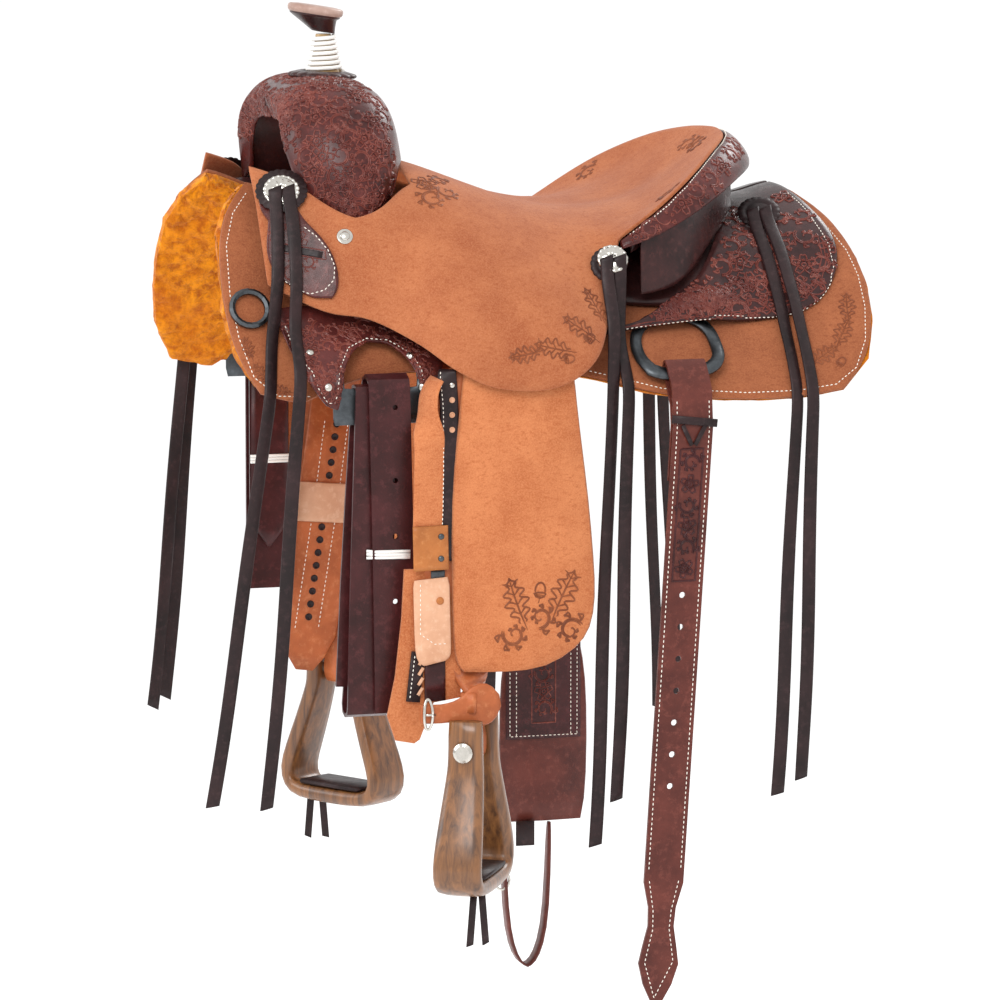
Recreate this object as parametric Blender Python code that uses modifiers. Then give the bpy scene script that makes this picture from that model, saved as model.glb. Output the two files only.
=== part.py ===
"""Western roping saddle, modelled as the leather, wood, steel and fleece pieces it is built from.

Metres, +Z up. The horse's head is towards -X, the near (left) side is -Y, and the origin is on the
crown of the horse's back, where the saddle rests. Run it with blender --background --python part.py.
"""
import math

import bmesh
import bpy
from mathutils import Matrix, Vector

for old in list(bpy.data.objects):
    bpy.data.objects.remove(old, do_unlink=True)

SADDLE = bpy.data.collections.new("roping_saddle")
CUTTERS = bpy.data.collections.new("saddle_cutters")
bpy.context.scene.collection.children.link(SADDLE)
bpy.context.scene.collection.children.link(CUTTERS)

NEAR = -1
OFF = 1
SIDES = (("near", NEAR), ("off", OFF))

# Leather and fleece thicknesses
SHEET_GAP = 0.0006
LAYER_GAP = 0.0020
SKIRT_LEATHER = 0.005
FLEECE_PILE = 0.013
RIGGING_LEATHER = 0.003
JOCKEY_LEATHER = 0.004
SEAT_LEATHER = 0.0035
COVER_LEATHER = 0.003
STRAP_LEATHER = 0.0035
FENDER_LEATHER = 0.004
LACE_THICKNESS = 0.0025

# Tree
BAR_THICKNESS = 0.022
BAR_EDGE = 0.006
GROUND_SEAT_DEPTH = 0.018
CANTLE_BOARD = 0.024
CANTLE_ROLL_WIDTH = 0.041
CANTLE_ROLL_DEPTH = 0.013
CANTLE_ROLL_SLOPE = math.radians(50)
HORN_LEAN = math.radians(1)
HORN_FOOT = (-0.194, 0.0, 0.2125)
HORN_NECK_TOP_RADIUS = 0.0095
HORN_NECK_FOOT_RADIUS = 0.0190
HORN_NECK_HEIGHT = 0.042
HORN_CAP_RADIUS = 0.028
HORN_CAP_THICKNESS = 0.011
HORN_CAP_TILT = math.radians(9)
HORN_FLARE_HEIGHT = 0.018
HORN_CAP_REACH = 0.012
WRAP_CORD = 0.0046
WRAP_TURNS = 7

# Rigging and hardware
PLATE_STEEL = 0.003
PLATE_BAR_TOP = -0.093
PLATE_BAR_FOOT = -0.131
PLATE_FRONT_X = -0.246
PLATE_REAR_X = -0.144
PLATE_ARM = 0.012
PLATE_Y = 0.225
DEE_STEEL = 0.004
DEE_CENTRE_X = 0.126
DEE_RADIUS = 0.049
DEE_BAR = 0.0125
DEE_FOOT_Z = -0.100
FRONT_DEE_ROD = 0.0035
FRONT_DEE_RADIUS = 0.019
CONCHO_RADIUS = 0.0188
CONCHO_DOME = 0.005
ROSETTE_RADIUS = 0.0245
ROSETTE_LEATHER = 0.003
LACE_WIDTH = 0.014

# Straps
LATIGO_WIDTH = 0.044
LATIGO_FOOT = -0.430
BILLET_WIDTH = 0.043
BILLET_FOOT = -0.748
BILLET_HOLE = 0.0035
BILLET_HOLE_STEP = 0.0335
CINCH_WIDTH = 0.104
CINCH_FOOT = -0.658
CONNECTOR_WIDTH = 0.020
CONNECTOR_FOOT = -0.823

# Fenders and stirrups
STIRRUP_LEATHER_WIDTH = 0.076
SWING_X = -0.099
SWING_Z = -0.060
HEAD_END = 0.2015
HEAD_END_OFF = 0.2009
BOLT_X = -0.106
BOLT_Z = -0.466
STIRRUP_TURN = math.radians(31)
STIRRUP_TOP_SPAN = 0.064
STIRRUP_FOOT_SPAN = 0.140
STIRRUP_WOOD = 0.019
STIRRUP_TOP_WIDTH = 0.036
STIRRUP_FOOT_WIDTH = 0.052
STIRRUP_ABOVE_BOLT = 0.032
TREAD_LEATHER = 0.005
BOLT_RADIUS = 0.0045
BOLT_HEAD_RADIUS = 0.0105
BOLT_CLEARANCE = 0.0004
HOBBLE_Z = -0.417
HOBBLE_WIDTH = 0.021
HOBBLE_LEATHER = 0.003

# Heights of the layers above the top of the fleece
JOCKEY_HEIGHT = SKIRT_LEATHER + 0.0005
BAR_HEIGHT = SKIRT_LEATHER + 0.0013
DEE_HEIGHT = SKIRT_LEATHER + 0.0008
DEE_STAND_OFF = 0.0080

# The horse's back: x, height of the crown, slope near the top and slope low down (degrees)
BACK_STATIONS = (
    (-0.38, 0.215, 57, 66),
    (-0.28, 0.170, 52, 62),
    (-0.18, 0.106, 40, 57),
    (-0.08, 0.058, 27, 54),
    (0.03, 0.030, 16, 51),
    (0.14, 0.030, 14, 51),
    (0.25, 0.052, 16, 53),
    (0.38, 0.105, 20, 57),
)
CROWN_ARC = 0.05
LOW_ARC = 0.30


def ease(table, x):
    """Read the columns of a table of stations at x, smoothly between its rows."""
    last = len(table) - 1
    x = min(max(x, table[0][0]), table[last][0])
    i = 0
    while i < last - 1 and table[i + 1][0] < x:
        i += 1
    a = table[i]
    b = table[i + 1]
    before = table[max(i - 1, 0)]
    after = table[min(i + 2, last)]
    span = b[0] - a[0]
    t = (x - a[0]) / span
    values = []
    for k in range(1, len(a)):
        slope_a = (b[k] - before[k]) / (b[0] - before[0]) * span
        slope_b = (after[k] - a[k]) / (after[0] - a[0]) * span
        values.append((2 * t**3 - 3 * t**2 + 1) * a[k] + (t**3 - 2 * t**2 + t) * slope_a
                      + (3 * t**2 - 2 * t**3) * b[k] + (t**3 - t**2) * slope_b)
    return values


def smooth_step(t):
    """Go from 0 to 1 without a corner."""
    t = min(max(t, 0.0), 1.0)
    return t * t * (3 - 2 * t)


def back_curve(x, arc):
    """Follow the section of the horse's back down from its crown: distance out and height."""
    crown, top, low = ease(BACK_STATIONS, x)
    steps = 20
    out = 0.0
    height = crown
    for i in range(steps):
        s = (i + 0.5) * arc / steps
        slope = math.radians(top * smooth_step(s / CROWN_ARC)
                             + (low - top) * max(0.0, (s - CROWN_ARC) / (LOW_ARC - CROWN_ARC)))
        out += math.cos(slope) * arc / steps
        height -= math.sin(slope) * arc / steps
    return out, height


def back_point(x, arc, lift=0.0, side=NEAR):
    """A point lift above the horse's back, arc down from its crown, square to the surface."""
    step = 0.002
    out, height = back_curve(x, arc)
    out_x, height_x = back_curve(x + step, arc)
    out_s, height_s = back_curve(x, arc + step)
    along = Vector((step, out_x - out, height_x - height))
    down = Vector((0.0, out_s - out, height_s - height))
    normal = along.cross(down).normalized()
    if normal.z < 0:
        normal.negate()
    point = Vector((x, out, height)) + normal * lift
    point.y *= side
    return point


def back_normal(x, arc, side=NEAR):
    return (back_point(x, arc, 0.01, side) - back_point(x, arc, 0.0, side)).normalized()


def lift_at(lift, x, arc):
    return lift(x, arc) if callable(lift) else lift


def find_arc(x, lift, beyond):
    """The arc where a lifted surface first passes a test on its point, at station x."""
    low = 0.0
    high = 0.50
    for _ in range(22):
        middle = (low + high) / 2
        if beyond(back_point(x, middle, lift_at(lift, x, middle), OFF)):
            high = middle
        else:
            low = middle
    return low


def out_at(x, z, lift):
    """How far out from the centre plane a lifted surface is at height z."""
    arc = find_arc(x, lift, lambda p: p.z < z)
    return back_point(x, arc, lift_at(lift, x, arc), OFF).y


def height_at(x, out, lift):
    """The height of a lifted surface at a distance out from the centre plane."""
    arc = find_arc(x, lift, lambda p: p.y > out)
    return back_point(x, arc, lift_at(lift, x, arc), OFF).z


def arc_at_height(x, z):
    """How far down from the crown the horse's back reaches height z."""
    low = 0.0
    high = 0.50
    for _ in range(26):
        middle = (low + high) / 2
        if back_curve(x, middle)[1] > z:
            low = middle
        else:
            high = middle
    return low


def spline(knots, count):
    """Points spaced evenly along a smooth curve through the knots."""
    knots = [Vector(k) for k in knots]
    fine = []
    per_span = 12
    for i in range(len(knots) - 1):
        p0 = knots[max(i - 1, 0)]
        p1 = knots[i]
        p2 = knots[i + 1]
        p3 = knots[min(i + 2, len(knots) - 1)]
        for k in range(per_span):
            t = k / per_span
            fine.append(0.5 * (2 * p1 + (p2 - p0) * t + (2 * p0 - 5 * p1 + 4 * p2 - p3) * t**2
                               + (3 * p1 - p0 - 3 * p2 + p3) * t**3))
    fine.append(knots[-1].copy())
    return resample(fine, count)


def resample(points, count):
    """Points spaced evenly along a line of straight pieces."""
    lengths = [0.0]
    for a, b in zip(points, points[1:]):
        lengths.append(lengths[-1] + (b - a).length)
    result = []
    k = 0
    for i in range(count):
        target = lengths[-1] * i / (count - 1)
        while k < len(points) - 2 and lengths[k + 1] < target:
            k += 1
        share = (target - lengths[k]) / max(lengths[k + 1] - lengths[k], 1e-9)
        result.append(points[k].lerp(points[k + 1], min(share, 1.0)))
    return result


# Materials
def plain_material(name, colour, roughness=0.6, metallic=0.0):
    material = bpy.data.materials.new(name)
    material.use_nodes = True
    shader = material.node_tree.nodes["Principled BSDF"]
    shader.inputs["Base Color"].default_value = (*colour, 1.0)
    shader.inputs["Roughness"].default_value = roughness
    shader.inputs["Metallic"].default_value = metallic
    material.diffuse_color = (*colour, 1.0)
    return material


ROUGHOUT = plain_material("roughout_leather", (0.55, 0.25, 0.11), 0.9)
TOOLED = plain_material("dark_tooled_leather", (0.075, 0.016, 0.013), 0.4)
BURGUNDY = plain_material("burgundy_latigo_leather", (0.06, 0.012, 0.018), 0.4)
RUSSET = plain_material("russet_leather", (0.50, 0.17, 0.05), 0.5)
CINCH = plain_material("cinch_leather", (0.14, 0.022, 0.013), 0.5)
LACE = plain_material("black_lace_leather", (0.022, 0.012, 0.013), 0.6)
WOOD = plain_material("oiled_stirrup_wood", (0.16, 0.085, 0.035), 0.5)
TREE = plain_material("rawhide_tree", (0.60, 0.45, 0.25), 0.7)
FLEECE = plain_material("golden_fleece", (0.72, 0.28, 0.02), 1.0)
COTTON = plain_material("white_cotton", (0.80, 0.77, 0.70), 0.9)
BLACK_STEEL = plain_material("blued_steel", (0.04, 0.045, 0.05), 0.35, 1.0)
BRIGHT_STEEL = plain_material("stainless_steel", (0.60, 0.60, 0.60), 0.25, 1.0)


# Mesh making
def add_object(name, mesh, material, smooth=True):
    """Put a mesh in the saddle as a named sub-part."""
    obj = bpy.data.objects.new(name, mesh)
    SADDLE.objects.link(obj)
    mesh.materials.append(material)
    if smooth:
        mesh.shade_smooth()
        mesh.set_sharp_from_angle(angle=math.radians(40))
    return obj


def mesh_from(name, points, faces, weld=0.0):
    mesh = bpy.data.meshes.new(name)
    bm = bmesh.new()
    verts = [bm.verts.new(p) for p in points]
    for face in faces:
        bm.faces.new([verts[i] for i in face])
    if weld:
        bmesh.ops.remove_doubles(bm, verts=bm.verts, dist=weld)
        bmesh.ops.dissolve_degenerate(bm, edges=bm.edges, dist=1e-6)
    bm.normal_update()
    bm.to_mesh(mesh)
    bm.free()
    return mesh


def grid_faces(rows, columns, flip=False, start=0):
    """Quads of a grid of points stored row by row."""
    faces = []
    for r in range(rows - 1):
        for c in range(columns - 1):
            a = start + r * columns + c
            face = [a, a + 1, a + columns + 1, a + columns]
            faces.append(face[::-1] if flip else face)
    return faces


def sheet(name, grid, thickness, material, flip=False, mirrored=False, weld=1e-5):
    """A sheet of leather: an open surface, thickened outwards."""
    columns = len(grid[0])
    points = [p for row in grid for p in row]
    mesh = mesh_from(name, points, grid_faces(len(grid), columns, flip), weld)
    obj = add_object(name, mesh, material)
    if mirrored:
        mirror = obj.modifiers.new("both_sides", "MIRROR")
        mirror.use_axis = (False, True, False)
        mirror.merge_threshold = 0.0001
    solid = obj.modifiers.new("leather_thickness", "SOLIDIFY")
    solid.thickness = thickness
    solid.offset = 1.0
    solid.use_even_offset = True
    return obj


def slab(name, foot_grid, top_grid, material, flip=False):
    """A closed solid between two grids of points with the same rows and columns."""
    rows = len(foot_grid)
    columns = len(foot_grid[0])
    points = [p for row in foot_grid for p in row] + [p for row in top_grid for p in row]
    count = rows * columns
    faces = grid_faces(rows, columns, not flip) + grid_faces(rows, columns, flip, count)
    rim = [c for c in range(columns)]
    rim += [r * columns + columns - 1 for r in range(1, rows)]
    rim += [(rows - 1) * columns + c for c in range(columns - 2, -1, -1)]
    rim += [r * columns for r in range(rows - 2, 0, -1)]
    for a, b in zip(rim, rim[1:] + rim[:1]):
        face = [a, b, b + count, a + count]
        faces.append(face[::-1] if flip else face)
    return add_object(name, mesh_from(name, points, faces), material)


def loft(name, rings, material, smooth=True):
    """A closed solid through rings of points, capped at both ends."""
    size = len(rings[0])
    points = [p for ring in rings for p in ring]
    faces = []
    for r in range(len(rings) - 1):
        for i in range(size):
            a = r * size + i
            b = r * size + (i + 1) % size
            faces.append([a, b, b + size, a + size])
    faces.append(list(range(size))[::-1])
    faces.append([(len(rings) - 1) * size + i for i in range(size)])
    mesh = mesh_from(name, points, faces)
    fix_normals(mesh)
    return add_object(name, mesh, material, smooth)


def fix_normals(mesh):
    bm = bmesh.new()
    bm.from_mesh(mesh)
    bmesh.ops.recalc_face_normals(bm, faces=bm.faces)
    bm.to_mesh(mesh)
    bm.free()


def strap(name, route, across, widths, thickness, material):
    """A flat strap along a route of points, with its width direction and width at each point."""
    rings = []
    count = len(route)
    for i, point in enumerate(route):
        ahead = (route[min(i + 1, count - 1)] - route[max(i - 1, 0)]).normalized()
        wide = across[i] if isinstance(across, list) else across
        wide = (wide - ahead * wide.dot(ahead)).normalized()
        width = widths[i] if isinstance(widths, list) else widths
        deep = ahead.cross(wide).normalized() * thickness / 2
        half = wide * width / 2
        rings.append([point - half - deep, point + half - deep, point + half + deep, point - half + deep])
    return loft(name, rings, material)


def outline_curve(name, outlines, thickness, matrix, material):
    """A flat plate from 2D outlines, the first one its edge and the rest its holes."""
    curve = bpy.data.curves.new(name, "CURVE")
    curve.dimensions = "2D"
    curve.fill_mode = "BOTH"
    curve.extrude = thickness / 2
    for outline in outlines:
        line = curve.splines.new("POLY")
        line.points.add(len(outline) - 1)
        for point, (u, v) in zip(line.points, outline):
            point.co = (u, v, 0.0, 1.0)
        line.use_cyclic_u = True
    obj = bpy.data.objects.new(name, curve)
    SADDLE.objects.link(obj)
    curve.materials.append(material)
    obj.matrix_world = matrix
    weld = obj.modifiers.new("weld_caps", "WELD")
    weld.merge_threshold = 0.00001
    return obj


def tube(name, route, radius, material, closed=False, sides=2):
    """A round rod bent along a route."""
    curve = bpy.data.curves.new(name, "CURVE")
    curve.dimensions = "3D"
    curve.bevel_depth = radius
    curve.bevel_resolution = sides
    curve.use_fill_caps = not closed
    line = curve.splines.new("POLY")
    line.points.add(len(route) - 1)
    for point, co in zip(line.points, route):
        point.co = (*co, 1.0)
    line.use_cyclic_u = closed
    obj = bpy.data.objects.new(name, curve)
    SADDLE.objects.link(obj)
    curve.materials.append(material)
    weld = obj.modifiers.new("weld_caps", "WELD")
    weld.merge_threshold = 0.00001
    return obj


def turned(name, profile, matrix, material, steps=24):
    """A turned piece: a profile of radius and height, run round its axis."""
    mesh = bpy.data.meshes.new(name)
    bm = bmesh.new()
    previous = None
    for radius, height in profile:
        vert = bm.verts.new((radius, 0.0, height))
        if previous:
            bm.edges.new((previous, vert))
        previous = vert
    bm.to_mesh(mesh)
    bm.free()
    obj = add_object(name, mesh, material, smooth=False)
    screw = obj.modifiers.new("turn", "SCREW")
    screw.axis = "Z"
    screw.steps = steps
    screw.render_steps = steps
    screw.use_merge_vertices = True
    screw.merge_threshold = 0.00001
    screw.use_smooth_shade = True
    obj.matrix_world = matrix
    return obj


def frame_at(origin, x_axis, z_axis):
    """The placing matrix of a piece whose own Z is z_axis and whose X is near x_axis."""
    z_axis = z_axis.normalized()
    y_axis = z_axis.cross(x_axis).normalized()
    x_axis = y_axis.cross(z_axis)
    matrix = Matrix((x_axis, y_axis, z_axis)).transposed().to_4x4()
    matrix.translation = origin
    return matrix


def drill(obj, name, origin, axis, radius, length, sides=12):
    """Cut a round hole of the given length centred on origin."""
    mesh = bpy.data.meshes.new(name)
    bm = bmesh.new()
    bmesh.ops.create_cone(bm, cap_ends=True, segments=sides, radius1=radius, radius2=radius, depth=length)
    bm.to_mesh(mesh)
    bm.free()
    cutter = bpy.data.objects.new(name, mesh)
    CUTTERS.objects.link(cutter)
    cutter.matrix_world = frame_at(origin, Vector((0.31, 0.11, 0.91)), axis)
    cutter.hide_render = True
    cutter.display_type = "WIRE"
    cut = obj.modifiers.new(name, "BOOLEAN")
    cut.operation = "DIFFERENCE"
    cut.solver = "EXACT"
    cut.object = cutter
    return cutter


# The seat: half ribs from the centre line out, as (distance out, height) pairs
SEAT_RIBS = (
    (-0.134, 0.0, 0.1235, 0.055, 0.1225, 0.100, 0.1145, 0.122, 0.1050,
     0.184, 0.061, 0.230, 0.0045, 0.2580, -0.036, 0.2675, -0.069),
    (-0.118, 0.0, 0.121, 0.055, 0.120, 0.105, 0.111, 0.140, 0.096,
     0.182, 0.064, 0.236, 0.005, 0.2680, -0.043, 0.2745, -0.078),
    (-0.090, 0.0, 0.111, 0.055, 0.111, 0.105, 0.104, 0.145, 0.088,
     0.190, 0.058, 0.2485, -0.005, 0.2725, -0.046, 0.2755, -0.092),
    (-0.050, 0.0, 0.095, 0.055, 0.096, 0.105, 0.091, 0.150, 0.075,
     0.198, 0.044, 0.2500, -0.007, 0.2725, -0.046, 0.2755, -0.097),
    (-0.010, 0.0, 0.080, 0.055, 0.082, 0.105, 0.078, 0.152, 0.063,
     0.200, 0.032, 0.2490, -0.011, 0.2720, -0.048, 0.2750, -0.091),
    (0.025, 0.0, 0.071, 0.055, 0.074, 0.105, 0.070, 0.150, 0.057,
     0.195, 0.028, 0.2320, -0.012, 0.2560, -0.042, 0.2680, -0.068),
    (0.048, 0.0, 0.067, 0.055, 0.071, 0.105, 0.067, 0.150, 0.055,
     0.186, 0.034, 0.2050, 0.012, 0.2170, -0.008, 0.2290, -0.028),
    (0.060, 0.0, 0.066, 0.055, 0.071, 0.105, 0.067, 0.148, 0.056,
     0.176, 0.045, 0.1870, 0.036, 0.1970, 0.024, 0.2065, 0.012),
    (0.075, 0.0, 0.066, 0.055, 0.070, 0.105, 0.066, 0.142, 0.059,
     0.165, 0.054, 0.1720, 0.0525, 0.1790, 0.0505, 0.1860, 0.048),
)
# The front jockeys: ribs from the swell down to the leather's lower edge
JOCKEY_RIBS = (
    (-0.300, 0.090, 0.126, 0.122, 0.089, 0.145, 0.050, 0.157, 0.030, 0.168, 0.010),
    (-0.281, 0.101, 0.120, 0.135, 0.081, 0.156, 0.042, 0.166, 0.021, 0.176, 0.000),
    (-0.262, 0.114, 0.113, 0.146, 0.073, 0.166, 0.034, 0.175, 0.012, 0.184, -0.010),
    (-0.235, 0.1445, 0.0915, 0.167, 0.057, 0.180, 0.022, 0.187, 0.001, 0.193, -0.020),
    (-0.205, 0.163, 0.076, 0.179, 0.044, 0.191, 0.012, 0.198, -0.006, 0.205, -0.023),
    (-0.170, 0.153, 0.087, 0.183, 0.048, 0.206, 0.005, 0.217, -0.018, 0.226, -0.040),
    (-0.150, 0.133, 0.100, 0.183, 0.056, 0.219, 0.004, 0.241, -0.025, 0.253, -0.053),
    (-0.134, 0.122, 0.105, 0.184, 0.061, 0.230, 0.0045, 0.258, -0.036, 0.2675, -0.069),
)
CANTLE_RIM = ((0.075, 0.186, 0.048), (0.122, 0.178, 0.080), (0.161, 0.157, 0.107), (0.204, 0.109, 0.133),
              (0.233, 0.058, 0.1445), (0.243, 0.0, 0.148))
DISH_CENTRE = ((0.075, 0.0, 0.066), (0.115, 0.0, 0.068), (0.150, 0.0, 0.079), (0.185, 0.0, 0.101),
               (0.216, 0.0, 0.126), (0.243, 0.0, 0.148))
INNER_COLUMNS = 5
OUTER_COLUMNS = 7


def rib_points(table, x):
    values = ease(table, x)
    return [Vector((x, values[i], values[i + 1])) for i in range(0, len(values), 2)]


def seat_rib(x):
    """One rib of the seat, from the centre out, split where the front jockey joins it."""
    points = rib_points(SEAT_RIBS, x)
    inner = spline(points[:4], INNER_COLUMNS)
    outer = spline(points[3:], OUTER_COLUMNS)
    return inner[:-1] + outer


def near_side(points):
    return [Vector((p.x, -p.y, p.z)) for p in points]


def dish_grid(rows):
    """The dish between the last rib and the rim of the cantle, near side."""
    foot = seat_rib(SEAT_RIBS[-1][0])
    columns = len(foot)
    half_rim = [Vector(p) for p in CANTLE_RIM]
    fine = spline(half_rim, 61)
    corner = min(range(61), key=lambda i: (fine[i] - half_rim[1]).length)
    top = resample(fine[corner:][::-1], columns)
    left = spline(DISH_CENTRE, rows)
    right = resample(fine[:corner + 1], rows)
    grid = []
    for i in range(rows):
        t = i / (rows - 1)
        row = []
        for j in range(columns):
            s = j / (columns - 1)
            edges = foot[j] * (1 - t) + top[j] * t + left[i] * (1 - s) + right[i] * s
            corners = (foot[0] * (1 - s) * (1 - t) + foot[-1] * s * (1 - t)
                       + top[0] * (1 - s) * t + top[-1] * s * t)
            row.append(edges - corners)
        grid.append(near_side(row))
    return grid


def lowered(grid, depth):
    """The same grid moved along its own normals, away from the side that shows."""
    rows = len(grid)
    columns = len(grid[0])
    result = []
    for r in range(rows):
        row = []
        for c in range(columns):
            along = grid[min(r + 1, rows - 1)][c] - grid[max(r - 1, 0)][c]
            across = grid[r][min(c + 1, columns - 1)] - grid[r][max(c - 1, 0)]
            normal = across.cross(along).normalized()
            row.append(grid[r][c] - normal * depth)
        result.append(row)
    return result


def seat_line(x):
    """The underside of the seat leather at x, from its inner edge down to its lower edge."""
    table = JOCKEY_RIBS if x < SEAT_RIBS[0][0] else SEAT_RIBS
    return spline(rib_points(table, x), 60)


def seat_point(x, z, side=NEAR):
    """A point of the seat leather's underside at x and height z, and the normal there."""
    line = seat_line(x)
    beside = seat_line(x + 0.004)
    k = 0 if x < SEAT_RIBS[0][0] else 8
    while k < len(line) - 2 and line[k + 1].z > z:
        k += 1
    share = min(max((line[k].z - z) / max(line[k].z - line[k + 1].z, 1e-6), 0.0), 1.0)
    point = line[k].lerp(line[k + 1], share)
    normal = (beside[k] - line[k]).cross(line[k + 1] - line[k]).normalized()
    if normal.y < 0:
        normal.negate()
    return Vector((point.x, side * point.y, point.z)), Vector((normal.x, side * normal.y, normal.z))


# The bars of the tree: x, arc of the inner edge, arc of the outer edge
BAR_OUTLINE = (
    (-0.272, 0.118, 0.175),
    (-0.235, 0.100, 0.182),
    (-0.160, 0.075, 0.185),
    (-0.060, 0.045, 0.155),
    (0.050, 0.035, 0.165),
    (0.140, 0.032, 0.185),
    (0.220, 0.035, 0.175),
    (0.285, 0.045, 0.130),
)


def bar_rise(x, arc):
    """How much thicker than its edge a bar is at x and arc."""
    outer = ease(BAR_OUTLINE, x)[1]
    ends = smooth_step((0.290 - x) / 0.09) * smooth_step((x + 0.285) / 0.05)
    return (BAR_THICKNESS - BAR_EDGE) * ends * smooth_step((outer - arc) / 0.06)


def bar_step(x, arc):
    """1 over the bars, falling to 0 on the skirt beyond their edges."""
    outer = ease(BAR_OUTLINE, x)[1]
    return smooth_step((outer + 0.045 - arc) / 0.037) * smooth_step((0.340 - x) / 0.050)


def tree_top(x, arc):
    """Lift of the top of the bars."""
    return BAR_HEIGHT + bar_step(x, arc) * (BAR_EDGE + bar_rise(x, arc))


def bar_grids(side, rows=14, columns=6):
    foot = []
    top = []
    for r in range(rows):
        x = BAR_OUTLINE[0][0] + (BAR_OUTLINE[-1][0] - BAR_OUTLINE[0][0]) * r / (rows - 1)
        inner, outer = ease(BAR_OUTLINE, x)
        arcs = [inner + (outer - inner) * c / (columns - 1) for c in range(columns)]
        foot.append([back_point(x, a, BAR_HEIGHT, side) for a in arcs])
        top.append([back_point(x, a, BAR_HEIGHT + BAR_EDGE + bar_rise(x, a), side) for a in arcs])
    return foot, top


for side_name, side in SIDES:
    foot, top = bar_grids(side)
    slab("tree_bar_" + side_name, foot, top, TREE, flip=side == OFF)


# Swell: five ribs from the middle to the near foot, each from the front lip to the rear foot
SWELL_RIBS = (
    ((-0.248, 0.0, 0.172), (-0.256, 0.0, 0.193), (-0.243, 0.0, 0.207), (-0.195, 0.0, 0.2125),
     (-0.150, 0.0, 0.199), (-0.128, 0.0, 0.165), (-0.120, 0.0, 0.131)),
    ((-0.250, -0.060, 0.165), (-0.259, -0.064, 0.186), (-0.247, -0.070, 0.202), (-0.200, -0.074, 0.208),
     (-0.152, -0.072, 0.193), (-0.138, -0.070, 0.160), (-0.131, -0.066, 0.129)),
    ((-0.250, -0.082, 0.140), (-0.262, -0.088, 0.154), (-0.252, -0.108, 0.166), (-0.205, -0.126, 0.172),
     (-0.158, -0.120, 0.160), (-0.147, -0.108, 0.141), (-0.142, -0.098, 0.122)),
    ((-0.244, -0.104, 0.110), (-0.254, -0.110, 0.118), (-0.246, -0.127, 0.122), (-0.205, -0.149, 0.120),
     (-0.170, -0.143, 0.116), (-0.158, -0.128, 0.109), (-0.152, -0.116, 0.103)),
    ((-0.240, -0.113, 0.106), (-0.247, -0.120, 0.098), (-0.240, -0.130, 0.086), (-0.205, -0.151, 0.070),
     (-0.178, -0.143, 0.077), (-0.166, -0.130, 0.087), (-0.158, -0.119, 0.093)),
)


def swell_grid(rows, columns):
    """The outer face of the fork, from its near foot over the top to its off foot."""
    net = [list(rib) for rib in SWELL_RIBS[::-1]]
    net += [[(x, -y, z) for x, y, z in rib] for rib in SWELL_RIBS[1:]]
    lines = [spline([rib[j] for rib in net], rows) for j in range(len(net[0]))]
    return [spline([line[r] for line in lines], columns) for r in range(rows)]


swell = swell_grid(17, 10)
sheet("swell_cover", swell, COVER_LEATHER, TOOLED)


def over_bars(x, arc):
    return BAR_HEIGHT + BAR_EDGE + bar_rise(x, arc) + 0.0034


def fork_foot(point):
    """The point above the bars where the fork's leg lands, inside its own outer face."""
    side = NEAR if point.y < 0 else OFF
    out = abs(point.y) * 0.86
    x = -0.197 + (point.x + 0.197) * 0.94
    return Vector((x, side * out, height_at(x, out, over_bars)))


def fork_ring(row):
    """Close a row of the fork's outer face along its gullet side."""
    rear = row[-1]
    front = row[0]
    return row + [rear.lerp(front, 0.25), rear.lerp(front, 0.5), rear.lerp(front, 0.75)]


wood_rows = [fork_ring(row[1:]) for row in lowered(swell, 0.0014)]
foot_near = [fork_foot(p) for p in wood_rows[0]]
foot_off = [fork_foot(p) for p in wood_rows[-1]]
loft("tree_fork", [foot_near] + wood_rows + [foot_off], TREE)

# Seat leather with both front jockeys in one hide
JOCKEY_STATIONS = (-0.300, -0.281, -0.262, -0.2485, -0.235, -0.220, -0.205, -0.1875, -0.170, -0.150, -0.134)
SEAT_STATIONS = (-0.134, -0.112, -0.090, -0.050, -0.020, 0.003, 0.025, 0.037, 0.048, 0.060, 0.075)
front_grid = [near_side(spline(rib_points(JOCKEY_RIBS, x), OUTER_COLUMNS)) for x in JOCKEY_STATIONS]
seat_grid = [near_side(seat_rib(x)) for x in SEAT_STATIONS]
dish = dish_grid(6)


def seat_mesh():
    points = []
    faces = []
    for grid in (front_grid, seat_grid, dish):
        start = len(points)
        points += [p for row in grid for p in row]
        faces += grid_faces(len(grid), len(grid[0]), False, start)
    return mesh_from("seat_cover", points, faces, 1e-4)


seat = add_object("seat_cover", seat_mesh(), ROUGHOUT)
both = seat.modifiers.new("both_sides", "MIRROR")
both.use_axis = (False, True, False)
both.merge_threshold = 0.0001
skin = seat.modifiers.new("leather_thickness", "SOLIDIFY")
skin.thickness = SEAT_LEATHER
skin.offset = 1.0


def over_tree(x, arc):
    return tree_top(x, arc) + 0.0010


def above_tree(point, drop):
    """A point drop below another, but never inside the bars of the tree."""
    floor = height_at(point.x, abs(point.y), over_tree)
    return Vector((point.x, point.y, min(max(point.z - drop, floor), point.z - 0.002)))


def full_width(grid):
    """Rows from the near edge over the centre to the off edge."""
    return [row[::-1] + [Vector((p.x, -p.y, p.z)) for p in row[1:]] for row in grid]


ground_rows = [near_side(seat_rib(x))[:6] for x in SEAT_STATIONS[1:]]
ground_top = full_width(lowered(ground_rows, 0.0010))
ground_foot = [[above_tree(p, GROUND_SEAT_DEPTH) for p in row] for row in ground_top]
slab("ground_seat", ground_foot, ground_top, RUSSET, flip=True)

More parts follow.
